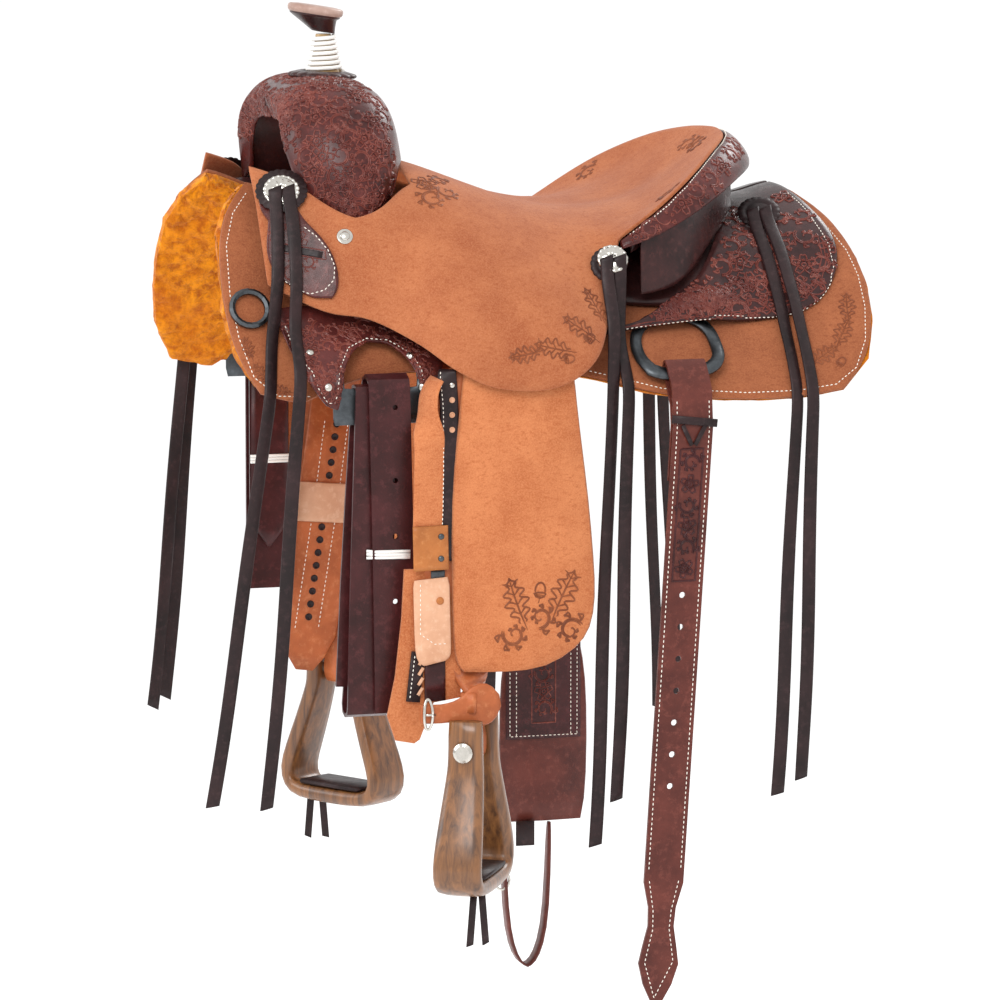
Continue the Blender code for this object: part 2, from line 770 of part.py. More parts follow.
cantle_rows = [row[:-1] for row in lowered(dish, 0.0014)[1:]]
cantle_rows[-1] = [a.lerp(b, 0.70) for a, b in zip(cantle_rows[-2], cantle_rows[-1])]
cantle_top = full_width(cantle_rows)
cantle_foot = [[above_tree(p, CANTLE_BOARD) for p in row] for row in cantle_top]
slab("tree_cantle", cantle_foot, cantle_top, TREE, flip=True)


def rim_frames(count):
    """Points of the rim from near to off, with the level direction that faces away from the dish."""
    half = [Vector(p) for p in CANTLE_RIM]
    rim = spline(near_side(half) + half[-2::-1], count)
    frames = []
    for i, point in enumerate(rim):
        along = rim[min(i + 1, count - 1)] - rim[max(i - 1, 0)]
        away = Vector((along.y, -along.x, 0.0)).normalized()
        if away.x < 0 and abs(away.x) > abs(away.y):
            away.negate()
        if abs(point.y) > 0.01 and away.y * point.y < 0:
            away.negate()
        frames.append((point, away))
    return frames


def roll_section(share, point, away):
    """The roll's middle, its slope, the way out of its face, and its half width and depth."""
    fullness = math.sin(math.pi * share) ** 0.55
    width = 0.010 + (CANTLE_ROLL_WIDTH - 0.010) * fullness
    depth = 0.006 + (CANTLE_ROLL_DEPTH - 0.006) * fullness
    slope = away * math.cos(CANTLE_ROLL_SLOPE) - Vector((0, 0, math.sin(CANTLE_ROLL_SLOPE)))
    face = away * math.sin(CANTLE_ROLL_SLOPE) + Vector((0, 0, math.cos(CANTLE_ROLL_SLOPE)))
    centre = point + slope * (width / 2 + 0.0016) + face * 0.0014
    return centre, slope, face, width / 2, depth / 2


def roll_rings():
    rings = []
    frames = rim_frames(19)
    for i, (point, away) in enumerate(frames):
        centre, slope, face, width, depth = roll_section(i / (len(frames) - 1), point, away)
        rings.append([centre + slope * (width * math.cos(a)) + face * (depth * math.sin(a))
                      for a in [2 * math.pi * k / 10 for k in range(10)]])
    return rings


loft("cantle_roll", roll_rings(), TOOLED)


def over_jockey(x, arc):
    return rear_jockey_lift(x, arc) + JOCKEY_LEATHER + 0.0020


def cantle_back_grid(rows=4, count=19):
    """The leather behind the cantle, from under the roll down to the rear jockeys."""
    grid = []
    frames = rim_frames(count + 4)
    for i in range(1, count + 3):
        point, away = frames[i]
        centre, slope, face, width, depth = roll_section(i / (count + 3), point, away)
        inner = centre - face * (depth + 0.0012)
        out = min((inner - point).dot(away) - COVER_LEATHER, 0.004)
        top = Vector((point.x, point.y, inner.z)) + away * out
        foot = point + away * (out + 0.001)
        foot.z = height_at(foot.x, abs(foot.y), over_jockey)
        top.z = max(top.z, foot.z + 0.004)
        grid.append([top.lerp(foot, k / (rows - 1)) for k in range(rows)])
    return grid


# Leather sheets that lie along the horse's back
def back_sheet(name, side, upper, lower, columns, rows, lift, thickness, material):
    """A sheet between an upper and a lower edge given as (x, arc) points."""
    top = spline([Vector((x, a, 0.0)) for x, a in upper], columns + 1)
    foot = spline([Vector((x, a, 0.0)) for x, a in lower], columns + 1)
    grid = []
    for i in range(columns + 1):
        row = []
        for j in range(rows + 1):
            p = top[i].lerp(foot[i], j / rows)
            row.append(back_point(p.x, p.y, lift_at(lift, p.x, p.y), side))
        grid.append(row)
    return sheet(name, grid, thickness, material, flip=side == OFF)


def by_height(points):
    """Turn edge points given as (x, height) into (x, arc) points."""
    return [(x, arc_at_height(x, z)) for x, z in points]


SKIRT_TOP = ((-0.292, 0.112), (-0.220, 0.100), (-0.120, 0.052), (-0.020, 0.024), (0.100, 0.012),
             (0.220, 0.006), (0.318, 0.004))
SKIRT_EDGE = ((-0.302, 0.108), (-0.328, 0.083), (-0.341, 0.050), (-0.344, 0.000), (-0.340, -0.045),
              (-0.328, -0.086), (-0.302, -0.108), (-0.262, -0.109), (-0.236, -0.094), (-0.195, -0.083),
              (-0.155, -0.082), (-0.100, -0.080), (-0.030, -0.080), (0.030, -0.090), (0.100, -0.108),
              (0.190, -0.115), (0.250, -0.114), (0.292, -0.109), (0.320, -0.091), (0.336, -0.062),
              (0.345, -0.028), (0.347, 0.005), (0.343, 0.033), (0.334, 0.058), (0.322, 0.073))
FLEECE_OVERHANG = 0.004


def fleece_edge():
    """The skirt's edge let out by the overhang of the fleece."""
    grown = []
    for x, z in SKIRT_EDGE:
        away = Vector((x, z + 0.02)).normalized()
        grown.append((x + away.x * FLEECE_OVERHANG, z + min(away.y * FLEECE_OVERHANG, 0.0)))
    return grown


for side_name, side in SIDES:
    back_sheet("skirt_" + side_name, side, SKIRT_TOP, by_height(SKIRT_EDGE), 28, 5, 0.0,
               SKIRT_LEATHER, ROUGHOUT)
    back_sheet("fleece_" + side_name, side, SKIRT_TOP, by_height(fleece_edge()), 28, 5,
               -FLEECE_PILE - LAYER_GAP / 2, FLEECE_PILE, FLEECE)

REAR_JOCKEY_TOP = ((0.047, 0.212), (0.085, 0.212), (0.130, 0.191), (0.172, 0.160), (0.207, 0.112),
                   (0.231, 0.058), (0.239, 0.003))
REAR_JOCKEY_EDGE = ((0.044, -0.056), (0.100, -0.052), (0.170, -0.047), (0.240, -0.041), (0.283, -0.031),
                    (0.310, -0.010), (0.325, 0.012), (0.330, 0.034), (0.323, 0.056))
dee_arc = arc_at_height(DEE_CENTRE_X, DEE_FOOT_Z) - DEE_RADIUS


def rear_jockey_lift(x, arc):
    """The rear jockey rides over the bars and over the rear dee."""
    beside_dee = smooth_step((0.080 - abs(x - DEE_CENTRE_X)) / 0.028)
    over_dee = beside_dee * smooth_step((arc - dee_arc + 0.080) / 0.03)
    return JOCKEY_HEIGHT + bar_step(x, arc) * (BAR_EDGE + bar_rise(x, arc) + 0.0045) + 0.0065 * over_dee


sheet("cantle_back", cantle_back_grid(), COVER_LEATHER, TOOLED)
for side_name, side in SIDES:
    edge = by_height(REAR_JOCKEY_EDGE) + [(0.308, 0.003)]
    back_sheet("rear_jockey_" + side_name, side, REAR_JOCKEY_TOP, edge, 19, 5, rear_jockey_lift,
               JOCKEY_LEATHER, TOOLED)

# Rigging: steel plates with a leather cover
COVER_COLUMNS = (
    (-0.291, -0.016, -0.030), (-0.284, -0.014, -0.060), (-0.268, -0.013, -0.093), (-0.255, -0.013, -0.110),
    (-0.243, -0.014, -0.114), (-0.240, -0.014, -0.100), (-0.236, -0.014, -0.078), (-0.222, -0.016, -0.057),
    (-0.202, -0.018, -0.049), (-0.182, -0.022, -0.051), (-0.165, -0.030, -0.062), (-0.157, -0.036, -0.080),
    (-0.153, -0.038, -0.102), (-0.150, -0.040, -0.112),
    (-0.141, -0.048, -0.111), (-0.134, -0.054, -0.092), (-0.131, -0.058, -0.070),
)


def rig_out(x, z):
    """How far out the inner face of a rigging plate is."""
    share = smooth_step((-0.038 - z) / 0.055)
    return (out_at(x, z, SKIRT_LEATHER) + 0.0004) * (1 - share) + PLATE_Y * share


def cover_out(x, z):
    """How far out the inner face of a rigging cover is."""
    return rig_out(x, z) + PLATE_STEEL * 1.35 + 0.0046


PLATE_XS = (PLATE_FRONT_X, PLATE_FRONT_X + PLATE_ARM, -0.218, -0.195, -0.172,
            PLATE_REAR_X - PLATE_ARM, PLATE_REAR_X)
PLATE_ZS = (-0.034, -0.049, -0.064, -0.079, PLATE_BAR_TOP, -0.112, PLATE_BAR_FOOT)
for side_name, side in SIDES:
    grid = []
    for x, top, foot in COVER_COLUMNS:
        column = []
        for j in range(6):
            z = top + (foot - top) * j / 5
            column.append(Vector((x, side * cover_out(x, z), z)))
        grid.append(column)
    sheet("rigging_cover_" + side_name, grid, RIGGING_LEATHER, TOOLED, flip=side == OFF)
    points = [Vector((x, side * rig_out(x, z), z)) for x in PLATE_XS for z in PLATE_ZS]
    faces = [face for k, face in enumerate(grid_faces(len(PLATE_XS), len(PLATE_ZS), side == OFF))
             if not (1 <= k // 6 <= 4 and 1 <= k % 6 <= 3)]
    used = sorted({k for face in faces for k in face})
    points = [points[k] for k in used]
    faces = [[used.index(k) for k in face] for face in faces]
    plate_mesh = mesh_from("rigging_plate_" + side_name, points, faces, 1e-5)
    plate = add_object("rigging_plate_" + side_name, plate_mesh, BLACK_STEEL)
    solid = plate.modifiers.new("steel_thickness", "SOLIDIFY")
    solid.thickness = PLATE_STEEL
    solid.offset = 1.0
    solid.use_even_offset = True

# Rear dees: flat steel rings on the skirt
DEE_SEGMENTS = 24


def dee_lift(arc):
    return DEE_HEIGHT + DEE_STAND_OFF * smooth_step((arc - dee_arc - 0.004) / 0.030)


for side_name, side in SIDES:
    points = []
    for i in range(DEE_SEGMENTS):
        angle = 2 * math.pi * i / DEE_SEGMENTS
        for radius in (DEE_RADIUS - DEE_BAR, DEE_RADIUS):
            reach = radius
            if math.sin(angle) > 0:
                reach = radius / (math.cos(angle) ** 4 + math.sin(angle) ** 4) ** 0.25
            x = DEE_CENTRE_X + reach * math.cos(angle)
            arc = dee_arc + reach * math.sin(angle)
            points.append(back_point(x, arc, dee_lift(arc), side))
    faces = []
    for i in range(DEE_SEGMENTS):
        a = 2 * i
        b = 2 * ((i + 1) % DEE_SEGMENTS)
        face = [a, a + 1, b + 1, b]
        faces.append(face[::-1] if side == NEAR else face)
    ring = add_object("rear_dee_" + side_name, mesh_from("rear_dee_" + side_name, points, faces), BLACK_STEEL)
    solid = ring.modifiers.new("steel_thickness", "SOLIDIFY")
    solid.thickness = DEE_STEEL
    solid.offset = 1.0
    solid.use_even_offset = True

# Front dees: rod rings at the skirt's front edge
FRONT_DEE_X = -0.318
FRONT_DEE_Z = -0.018
for side_name, side in SIDES:
    arc = arc_at_height(FRONT_DEE_X, FRONT_DEE_Z)
    centre = back_point(FRONT_DEE_X, arc, SKIRT_LEATHER + FRONT_DEE_ROD + 0.0007, side)
    down = back_point(FRONT_DEE_X, arc + 0.01, 0.0, side) - back_point(FRONT_DEE_X, arc, 0.0, side)
    down.normalize()
    along = down.cross(back_normal(FRONT_DEE_X, arc, side)).normalized()
    route = [centre + (along * math.cos(a) + down * math.sin(a)) * (FRONT_DEE_RADIUS)
             for a in [2 * math.pi * k / 20 for k in range(20)]]
    tube("front_dee_" + side_name, route, FRONT_DEE_ROD, BRIGHT_STEEL, closed=True, sides=1)


# Straps
def turn_about(points, side):
    """Routes are written for the near side as (x, out, z)."""
    return [Vector((x, side * out, z)) for x, out, z in points]


LATIGO_STEP = 0.006
# Layer of the latigo, how far the layer swings forward there, distance out and height
latigo_line = [
    (0, 0.018, 0.2183, -0.405), (0, 0.013, 0.2184, -0.300), (0, 0.007, 0.2185, -0.200),
    (0, 0.0, 0.2185, -0.096), (0, 0.0, 0.2203, -0.0918), (0, 0.0, 0.2265, -0.0903),
    (0, 0.0, 0.2327, -0.0918), (0, 0.0, 0.2345, -0.096),
    (0.4, 0.006, 0.2345, -0.200), (0.7, 0.011, 0.2345, -0.300), (1, 0.016, 0.2345, -0.424),
    (1, 0.016, 0.2325, -0.4305), (1, 0.016, 0.2238, -0.4340), (1, 0.016, 0.2150, -0.4305),
    (1, 0.016, 0.2130, -0.424), (1.4, 0.009, 0.2130, -0.300), (1.7, 0.005, 0.2130, -0.200),
    (2, 0.0, 0.2130, -0.092), (2, 0.0, 0.2160, -0.0845), (2, 0.0, 0.2265, -0.0800), (2, 0.0, 0.2370, -0.0845),
    (2, 0.0, 0.2400, -0.092), (2.4, 0.0, 0.2400, -0.200), (2.7, 0.0, 0.2400, -0.300),
    (3, 0.0, 0.2400, LATIGO_FOOT),
]
latigo_points = [(-0.202 + LATIGO_STEP * k - lean, out, z) for k, lean, out, z in latigo_line]
latigo_route = turn_about(latigo_points, NEAR)
latigo = strap("latigo_near", latigo_route, Vector((1, 0, 0)), LATIGO_WIDTH, STRAP_LEATHER, BURGUNDY)
for k, z in enumerate((-0.112, -0.188, -0.246, -0.314)):
    hole = Vector((-0.184, -0.2400, z))
    drill(latigo, "latigo_hole_%d" % (k + 1), hole, Vector((0, 1, 0)), 0.003, 0.0050, 8)

billet_line = [(0.2183, -0.365), (0.2184, -0.250), (0.2185, -0.098), (0.2203, -0.0920), (0.2265, -0.0904),
               (0.2327, -0.0920), (0.2345, -0.098), (0.2345, -0.200), (0.2345, -0.330)]
billet_route = turn_about([(-0.200, out, z) for out, z in billet_line], OFF)
strap("billet_off", billet_route, Vector((1, 0, 0)), LATIGO_WIDTH, STRAP_LEATHER, BURGUNDY)


def dee_bar(side):
    """Centre of the dee's lower bar, the way down along it and the way out of it."""
    arc = dee_arc + DEE_RADIUS - DEE_BAR / 2
    centre = back_point(DEE_CENTRE_X, arc, dee_lift(arc) + DEE_STEEL / 2, side)
    down = back_point(DEE_CENTRE_X, arc + 0.01, dee_lift(arc), side) - back_point(DEE_CENTRE_X, arc,
                                                                                 dee_lift(arc), side)
    down.normalize()
    out = down.cross(Vector((1, 0, 0))).normalized()
    if out.y * side < 0:
        out.negate()
    return centre, down, out


def dee_loop(side, inner_foot, outer_foot):
    """A strap folded over the lower bar of a rear dee, hanging down on both faces."""
    centre, down, out = dee_bar(side)
    clear = DEE_STEEL / 2 + STRAP_LEATHER / 2 + 0.0024
    back_face = [centre - out * clear + down * 0.010, centre - out * clear - down * 0.004]
    fold = [centre - out * clear * 0.7 - down * (DEE_BAR / 2 + 0.0062),
            centre - down * (DEE_BAR / 2 + 0.0080),
            centre + out * clear * 0.7 - down * (DEE_BAR / 2 + 0.0062)]
    front_face = [centre + out * clear - down * 0.004, centre + out * clear + down * 0.006]
    inner_way = [centre - out * clear + down * k for k in (0.036, 0.022)]
    outer_way = [centre + out * clear + down * k for k in (0.014, 0.026)]
    inner_y = (centre - out * clear + down * 0.044).y
    outer_y = inner_y + side * 0.0072
    turn_z = centre.z - 0.052
    inner = [Vector((DEE_CENTRE_X, inner_y, inner_foot + (turn_z - inner_foot) * k / 3)) for k in range(4)]
    outer = [Vector((DEE_CENTRE_X, outer_y, turn_z - (turn_z - outer_foot) * k / 7)) for k in range(8)]
    inner += inner_way
    front_face += outer_way
    return inner + back_face + fold + front_face + outer


def billet_lean(z):
    """How far forward the near rear billet hangs at z."""
    return 0.042 * max(-0.090 - z, 0.0) / 0.66


# The spade at the billet's end: height above its tip and width
BILLET_SPADE = ((0.132, BILLET_WIDTH), (0.106, 0.030), (0.086, 0.028), (0.064, 0.037), (0.046, 0.0435),
                (0.024, 0.031), (0.0, 0.006))
near_loop = dee_loop(NEAR, -0.195, BILLET_FOOT + 0.180)
billet_widths = [BILLET_WIDTH] * len(near_loop) + [width for rise, width in BILLET_SPADE]
near_loop += [Vector((DEE_CENTRE_X, near_loop[-1].y, BILLET_FOOT + rise)) for rise, width in BILLET_SPADE]
near_loop = [p - Vector((billet_lean(p.z), 0, 0)) for p in near_loop]
near_billet = strap("rear_billet_near", near_loop, Vector((1, 0, 0)), billet_widths, STRAP_LEATHER, BURGUNDY)
for k in range(7):
    z = -0.313 - BILLET_HOLE_STEP * k
    hole = Vector((DEE_CENTRE_X - billet_lean(z), near_loop[-1].y, z))
    drill(near_billet, "billet_hole_%d" % (k + 1), hole, Vector((0, 1, 0)), BILLET_HOLE, 0.010, 8)

off_loop = dee_loop(OFF, -0.300, -0.400)
strap("rear_billet_off", off_loop, Vector((1, 0, 0)), BILLET_WIDTH, STRAP_LEATHER, CINCH)
CINCH_HEAD = -0.380
CINCH_THICKNESS = 0.008
cinch_y = off_loop[-1].y + STRAP_LEATHER / 2 + CINCH_THICKNESS / 2 + 0.0005
cinch_route = [Vector((DEE_CENTRE_X + 0.012, cinch_y, CINCH_HEAD + (CINCH_FOOT - CINCH_HEAD) * k / 6))
               for k in range(7)]
cinch_widths = [0.046, 0.074, 0.096, CINCH_WIDTH, CINCH_WIDTH, CINCH_WIDTH, 0.092]
strap("flank_cinch", cinch_route, Vector((1, 0, 0)), cinch_widths, CINCH_THICKNESS, CINCH)

CONNECTOR_LEFT = 0.090
CONNECTOR_RIGHT = 0.145
middle = (CONNECTOR_LEFT + CONNECTOR_RIGHT) / 2
head_z = CINCH_FOOT - 0.0008
connector_line = [(CONNECTOR_LEFT, head_z), (CONNECTOR_LEFT + 0.0005, -0.675),
                  (CONNECTOR_LEFT + 0.003, -0.760), (CONNECTOR_LEFT + 0.010, -0.800),
                  (middle - 0.008, CONNECTOR_FOOT + 0.004),
                  (middle, CONNECTOR_FOOT), (middle + 0.008, CONNECTOR_FOOT + 0.004),
                  (CONNECTOR_RIGHT - 0.010, -0.800), (CONNECTOR_RIGHT - 0.003, -0.760),
                  (CONNECTOR_RIGHT - 0.0005, -0.675), (CONNECTOR_RIGHT, head_z)]
connector_widths = [0.006, 0.016] + [CONNECTOR_WIDTH] * 7 + [0.016, 0.006]
strap("cinch_connector", [Vector((x, cinch_y, z)) for x, z in connector_line], Vector((0, 1, 0)),
      connector_widths, 0.003, CINCH)

# Fenders and stirrup leathers
FENDER_OUTLINE = ((-0.118, -0.075), (-0.125, -0.140), (-0.131, -0.208), (-0.131, -0.290), (-0.129, -0.354),
                  (-0.127, -0.376), (-0.119, -0.387), (-0.070, -0.389), (-0.028, -0.387), (0.005, -0.367),
                  (0.020, -0.348), (0.025, -0.315), (0.023, -0.277), (0.017, -0.210), (0.009, -0.151),
                  (0.004, -0.110), (0.001, -0.079), (-0.030, -0.070), (-0.060, -0.064), (-0.085, -0.060),
                  (-0.104, -0.063))
bolt_near = Vector((-math.sin(STIRRUP_TURN), -math.cos(STIRRUP_TURN), 0.0))
LEATHER_RINGS = (
    (-0.090, -0.118, 0.2588, 0.068, 0.009, 0.0),
    (-0.190, -0.124, 0.2588, 0.074, 0.009, 0.0),
    (-0.290, -0.124, 0.2588, STIRRUP_LEATHER_WIDTH, 0.009, 0.0),
    (-0.345, -0.119, 0.2555, 0.060, 0.009, 0.04),
    (-0.372, -0.112, 0.2540, 0.044, 0.0095, 0.12),
    (-0.390, -0.108, 0.2535, 0.040, 0.010, 0.22),
    (-0.399, -0.107, 0.2580, 0.040, 0.010, 0.65),
    (-0.4065, -0.106, 0.2615, 0.041, 0.010, 0.98),
    (-0.430, -0.106, 0.2620, 0.041, 0.011, 1.0),
    (-0.448, -0.106, 0.2620, 0.040, 0.015, 1.0),
    (-0.466, -0.106, 0.2620, 0.040, 0.0200, 1.0),
    (-0.476, -0.106, 0.2620, 0.040, 0.0165, 1.0),
    (-0.482, -0.106, 0.2620, 0.040, 0.0080, 1.0),
)
# The head of a stirrup leather, which turns in over the bar of the tree: out, width, thickness
HEAD_RINGS = ((0.0, 0.009, 0.009), (0.2400, 0.016, 0.009))
BOLT_OUT = 0.262
for side_name, side in SIDES:
    bolt_way = Vector((bolt_near.x, -side * bolt_near.y, 0.0))
    centre = Vector((BOLT_X, side * BOLT_OUT, BOLT_Z))
    matrix = frame_at(Vector((0, side * 0.266, 0)), Vector((1, 0, 0)), Vector((0, -1, 0)))
    outline_curve("fender_" + side_name, [FENDER_OUTLINE], FENDER_LEATHER, matrix, ROUGHOUT)

    rings = []
    flat_way = Vector((-1, 0, 0))
    for out, width, thick in HEAD_RINGS:
        out = max(out, HEAD_END if side == NEAR else HEAD_END_OFF)
        point = Vector((SWING_X, side * out, SWING_Z))
        half = flat_way * width / 2
        deep = Vector((0, 0, side)) * thick / 2
        rings.append([point - half - deep, point + half - deep, point + half + deep, point - half + deep])
    point = Vector((-0.100, side * 0.2575, -0.0645))
    half = flat_way * 0.040 / 2
    deep = Vector((0, 1, side)).normalized() * 0.0095 / 2
    rings.append([point - half - deep, point + half - deep, point + half + deep, point - half + deep])
    for z, x, out, width, thick, twist in LEATHER_RINGS:
        across = flat_way.lerp(bolt_way, twist).normalized()
        deep = across.cross(Vector((0, 0, 1)))
        point = Vector((x, side * out, z))
        half = across * width / 2
        deep = deep * thick / 2
        rings.append([point - half - deep, point + half - deep, point + half + deep, point - half + deep])
    leather = loft("stirrup_leather_" + side_name, rings, RUSSET)
    drill(leather, "bolt_way_leather_" + side_name, centre, bolt_way, BOLT_RADIUS + BOLT_CLEARANCE, 0.060)

    fore = bolt_way.cross(Vector((0, 0, 1))).normalized()
    half_top = STIRRUP_TOP_SPAN / 2
    half_foot = STIRRUP_FOOT_SPAN / 2
    leg = [(half_top, STIRRUP_ABOVE_BOLT), (half_top, 0.0), (half_top, -0.016), (half_top + 0.002, -0.026),
           (half_top + 0.014, -0.060), (half_foot - 0.010, -0.094), (half_foot - 0.001, -0.118),
           (half_foot - 0.006, -0.134), (half_foot - 0.020, -0.1425)]
    line = [(-d, h) for d, h in leg] + [(0.0, -0.1425)] + leg[::-1]
    rings = []
    for i, (d, h) in enumerate(line):
        before = line[max(i - 1, 0)]
        after = line[min(i + 1, len(line) - 1)]
        way = Vector((after[0] - before[0], after[1] - before[1])).normalized()
        thick = bolt_way * way.y * STIRRUP_WOOD / 2 - Vector((0, 0, way.x * STIRRUP_WOOD / 2))
        wide = STIRRUP_TOP_WIDTH + (STIRRUP_FOOT_WIDTH - STIRRUP_TOP_WIDTH) * smooth_step((0.01 - h) / 0.13)
        point = centre + bolt_way * d + Vector((0, 0, h))
        half = fore * wide / 2
        rings.append([point - half - thick * 0.6, point - half * 0.8 - thick, point + half * 0.8 - thick,
                      point + half - thick * 0.6, point + half + thick * 0.6, point + half * 0.8 + thick,
                      point - half * 0.8 + thick, point - half + thick * 0.6])
    wood = loft("stirrup_" + side_name, rings, WOOD)
    drill(wood, "bolt_way_stirrup_" + side_name, centre, bolt_way, BOLT_RADIUS + BOLT_CLEARANCE, 0.120)

    tread_foot = centre.z - 0.1425 + STIRRUP_WOOD / 2 + 0.0006
    rings = []
    for d in (-0.046, 0.0, 0.046):
        point = centre + bolt_way * d
        half = fore * (STIRRUP_FOOT_WIDTH / 2 - 0.002)
        low = Vector((point.x, point.y, tread_foot))
        high = low + Vector((0, 0, TREAD_LEATHER))
        rings.append([low - half, low + half, high + half, high - half])
    loft("stirrup_tread_" + side_name, rings, LACE, smooth=False)

    reach = half_top + STIRRUP_WOOD / 2 + 0.0012
    profile = [(0.0, -reach - 0.004), (BOLT_HEAD_RADIUS - 0.002, -reach - 0.004),
               (BOLT_HEAD_RADIUS, -reach - 0.002), (BOLT_HEAD_RADIUS, -reach), (BOLT_RADIUS, -reach),
               (BOLT_RADIUS, reach), (BOLT_HEAD_RADIUS, reach), (BOLT_HEAD_RADIUS, reach + 0.002),
               (BOLT_HEAD_RADIUS - 0.003, reach + 0.004), (0.0, reach + 0.004)]
    bolt_frame = frame_at(centre, Vector((0, 0, 1)), bolt_way)
    turned("stirrup_bolt_" + side_name, profile[::-1], bolt_frame, BRIGHT_STEEL, 16)

    inner_half = (0.0225, 0.0062)
    outer_half = (inner_half[0] + HOBBLE_LEATHER, inner_half[1] + HOBBLE_LEATHER)

    def rounded(size, corner):
        outline = []
        for k, (sx, sy) in enumerate(((1, 1), (-1, 1), (-1, -1), (1, -1))):
            for m in range(3):
                a = math.pi / 2 * (k + m / 2)
                outline.append((sx * (size[0] - corner) + corner * math.cos(a),
                                sy * (size[1] - corner) + corner * math.sin(a)))
        return outline

    place = frame_at(Vector((BOLT_X, side * BOLT_OUT, HOBBLE_Z)), bolt_way, Vector((0, 0, 1)))
    outline_curve("hobble_strap_" + side_name, [rounded(outer_half, 0.004), rounded(inner_half, 0.002)],
                  HOBBLE_WIDTH, place, RUSSET)

# Latigo keepers on the front jockeys
KEEPER_GAP = 0.0010
KEEPER_ROWS = ((0.099, -0.289, -0.279), (0.093, -0.296, -0.268), (0.082, -0.297, -0.259),
               (0.072, -0.290, -0.255), (0.061, -0.292, -0.244), (0.046, -0.296, -0.234),
               (0.030, -0.296, -0.229), (0.015, -0.288, -0.228), (0.004, -0.272, -0.230),
               (-0.004, -0.256, -0.236))
for side_name, side in SIDES:
    grid = []
    for z, left, right in KEEPER_ROWS:
        row = []
        for k in range(6):
            point, normal = seat_point(left + (right - left) * k / 5, z, side)
            row.append(point + normal * (SEAT_LEATHER + KEEPER_GAP))
        grid.append(row)
    sheet("latigo_keeper_" + side_name, grid, RIGGING_LEATHER, TOOLED, flip=side == NEAR)


# Conchos and rosettes
ROSETTE_X = 0.268
ROSETTE_ARC = 0.088


def rosette(name, point, normal, radius=ROSETTE_RADIUS):
    outline = []
    for k in range(24):
        reach = radius if k % 2 else radius - 0.0016
        outline.append((reach * math.cos(2 * math.pi * k / 24), reach * math.sin(2 * math.pi * k / 24)))
    matrix = frame_at(point + normal * ROSETTE_LEATHER / 2, Vector((1, 0, 0)), normal)
    return outline_curve(name, [outline], ROSETTE_LEATHER, matrix, LACE)


def concho(name, point, normal, radius=CONCHO_RADIUS):
    profile = [(0.0, CONCHO_DOME), (radius * 0.35, CONCHO_DOME * 0.92), (radius * 0.7, CONCHO_DOME * 0.62),
               (radius * 0.92, CONCHO_DOME * 0.35), (radius, 0.0012), (radius - 0.001, 0.0), (0.0, 0.0)]
    return turned(name, profile, frame_at(point, Vector((1, 0, 0)), normal), BRIGHT_STEEL, 16)


STRING_PLACES = {}
for side_name, side in SIDES:
    point, normal = seat_point(-0.278, 0.094, side)
    point = point + normal * (SEAT_LEATHER + KEEPER_GAP + RIGGING_LEATHER + 0.0008)
    concho("front_concho_" + side_name, point, normal)
    STRING_PLACES["front_" + side_name] = (point + normal * (CONCHO_DOME + 0.0020), normal)
    point, normal = seat_point(0.058, 0.020, side)
    point = point + normal * (SEAT_LEATHER + 0.0044)
    rosette("mid_rosette_" + side_name, point, normal, 0.0195)
    point = point + normal * (ROSETTE_LEATHER + SHEET_GAP)
    concho("mid_concho_" + side_name, point, normal, 0.0160)
    STRING_PLACES["mid_" + side_name] = (point + normal * (CONCHO_DOME + 0.0020), normal)
    normal = back_normal(ROSETTE_X, ROSETTE_ARC, side)
    lift = rear_jockey_lift(ROSETTE_X, ROSETTE_ARC) + JOCKEY_LEATHER + 0.0068
    point = back_point(ROSETTE_X, ROSETTE_ARC, lift, side)
    rosette("rear_rosette_" + side_name, point, normal, 0.0230)
    STRING_PLACES["rear_" + side_name] = (point + normal * (ROSETTE_LEATHER + 0.0022), normal)


# Saddle strings: one flat lace through each concho, both ends hanging
def leather_at(x, z, clear):
    """How far out a lace lies that touches nothing at x and z."""
    out = out_at(x, max(z, -0.118), SKIRT_LEATHER + clear)
    if x > 0.04 and z > -0.062:
        out = max(out, out_at(x, z, lambda at_x, arc: rear_jockey_lift(at_x, arc) + JOCKEY_LEATHER + clear))
    if x > 0.05 and z < -0.030:
        out = max(out, out_at(x, max(z, -0.105), DEE_HEIGHT + DEE_STAND_OFF + DEE_STEEL + clear))
    if -0.305 < x < 0.080:
        line = seat_line(max(min(x, 0.074), -0.299))
        if z > line[-1].z - 0.015:
            level = min(line[8:], key=lambda p: abs(p.z - z))
            out = max(out, level.y + (SEAT_LEATHER + clear) * 1.3)
            if x < -0.22 and z > -0.015:
                out = max(out, level.y + (SEAT_LEATHER + LAYER_GAP + RIGGING_LEATHER + clear) * 1.3)
    if -0.300 < x < -0.125 and z > -0.130:
        out = max(out, cover_out(x, z) + RIGGING_LEATHER + clear + 0.0015)
    if x < -0.285 and -0.060 < z < 0.020:
        out = max(out, out_at(x, z, SKIRT_LEATHER + 2 * FRONT_DEE_ROD + 0.0070 + clear))
    return out


def leather_out(x, z, clear):
    return max(leather_at(x + reach, z, clear) for reach in (-0.007, 0.0, 0.007))


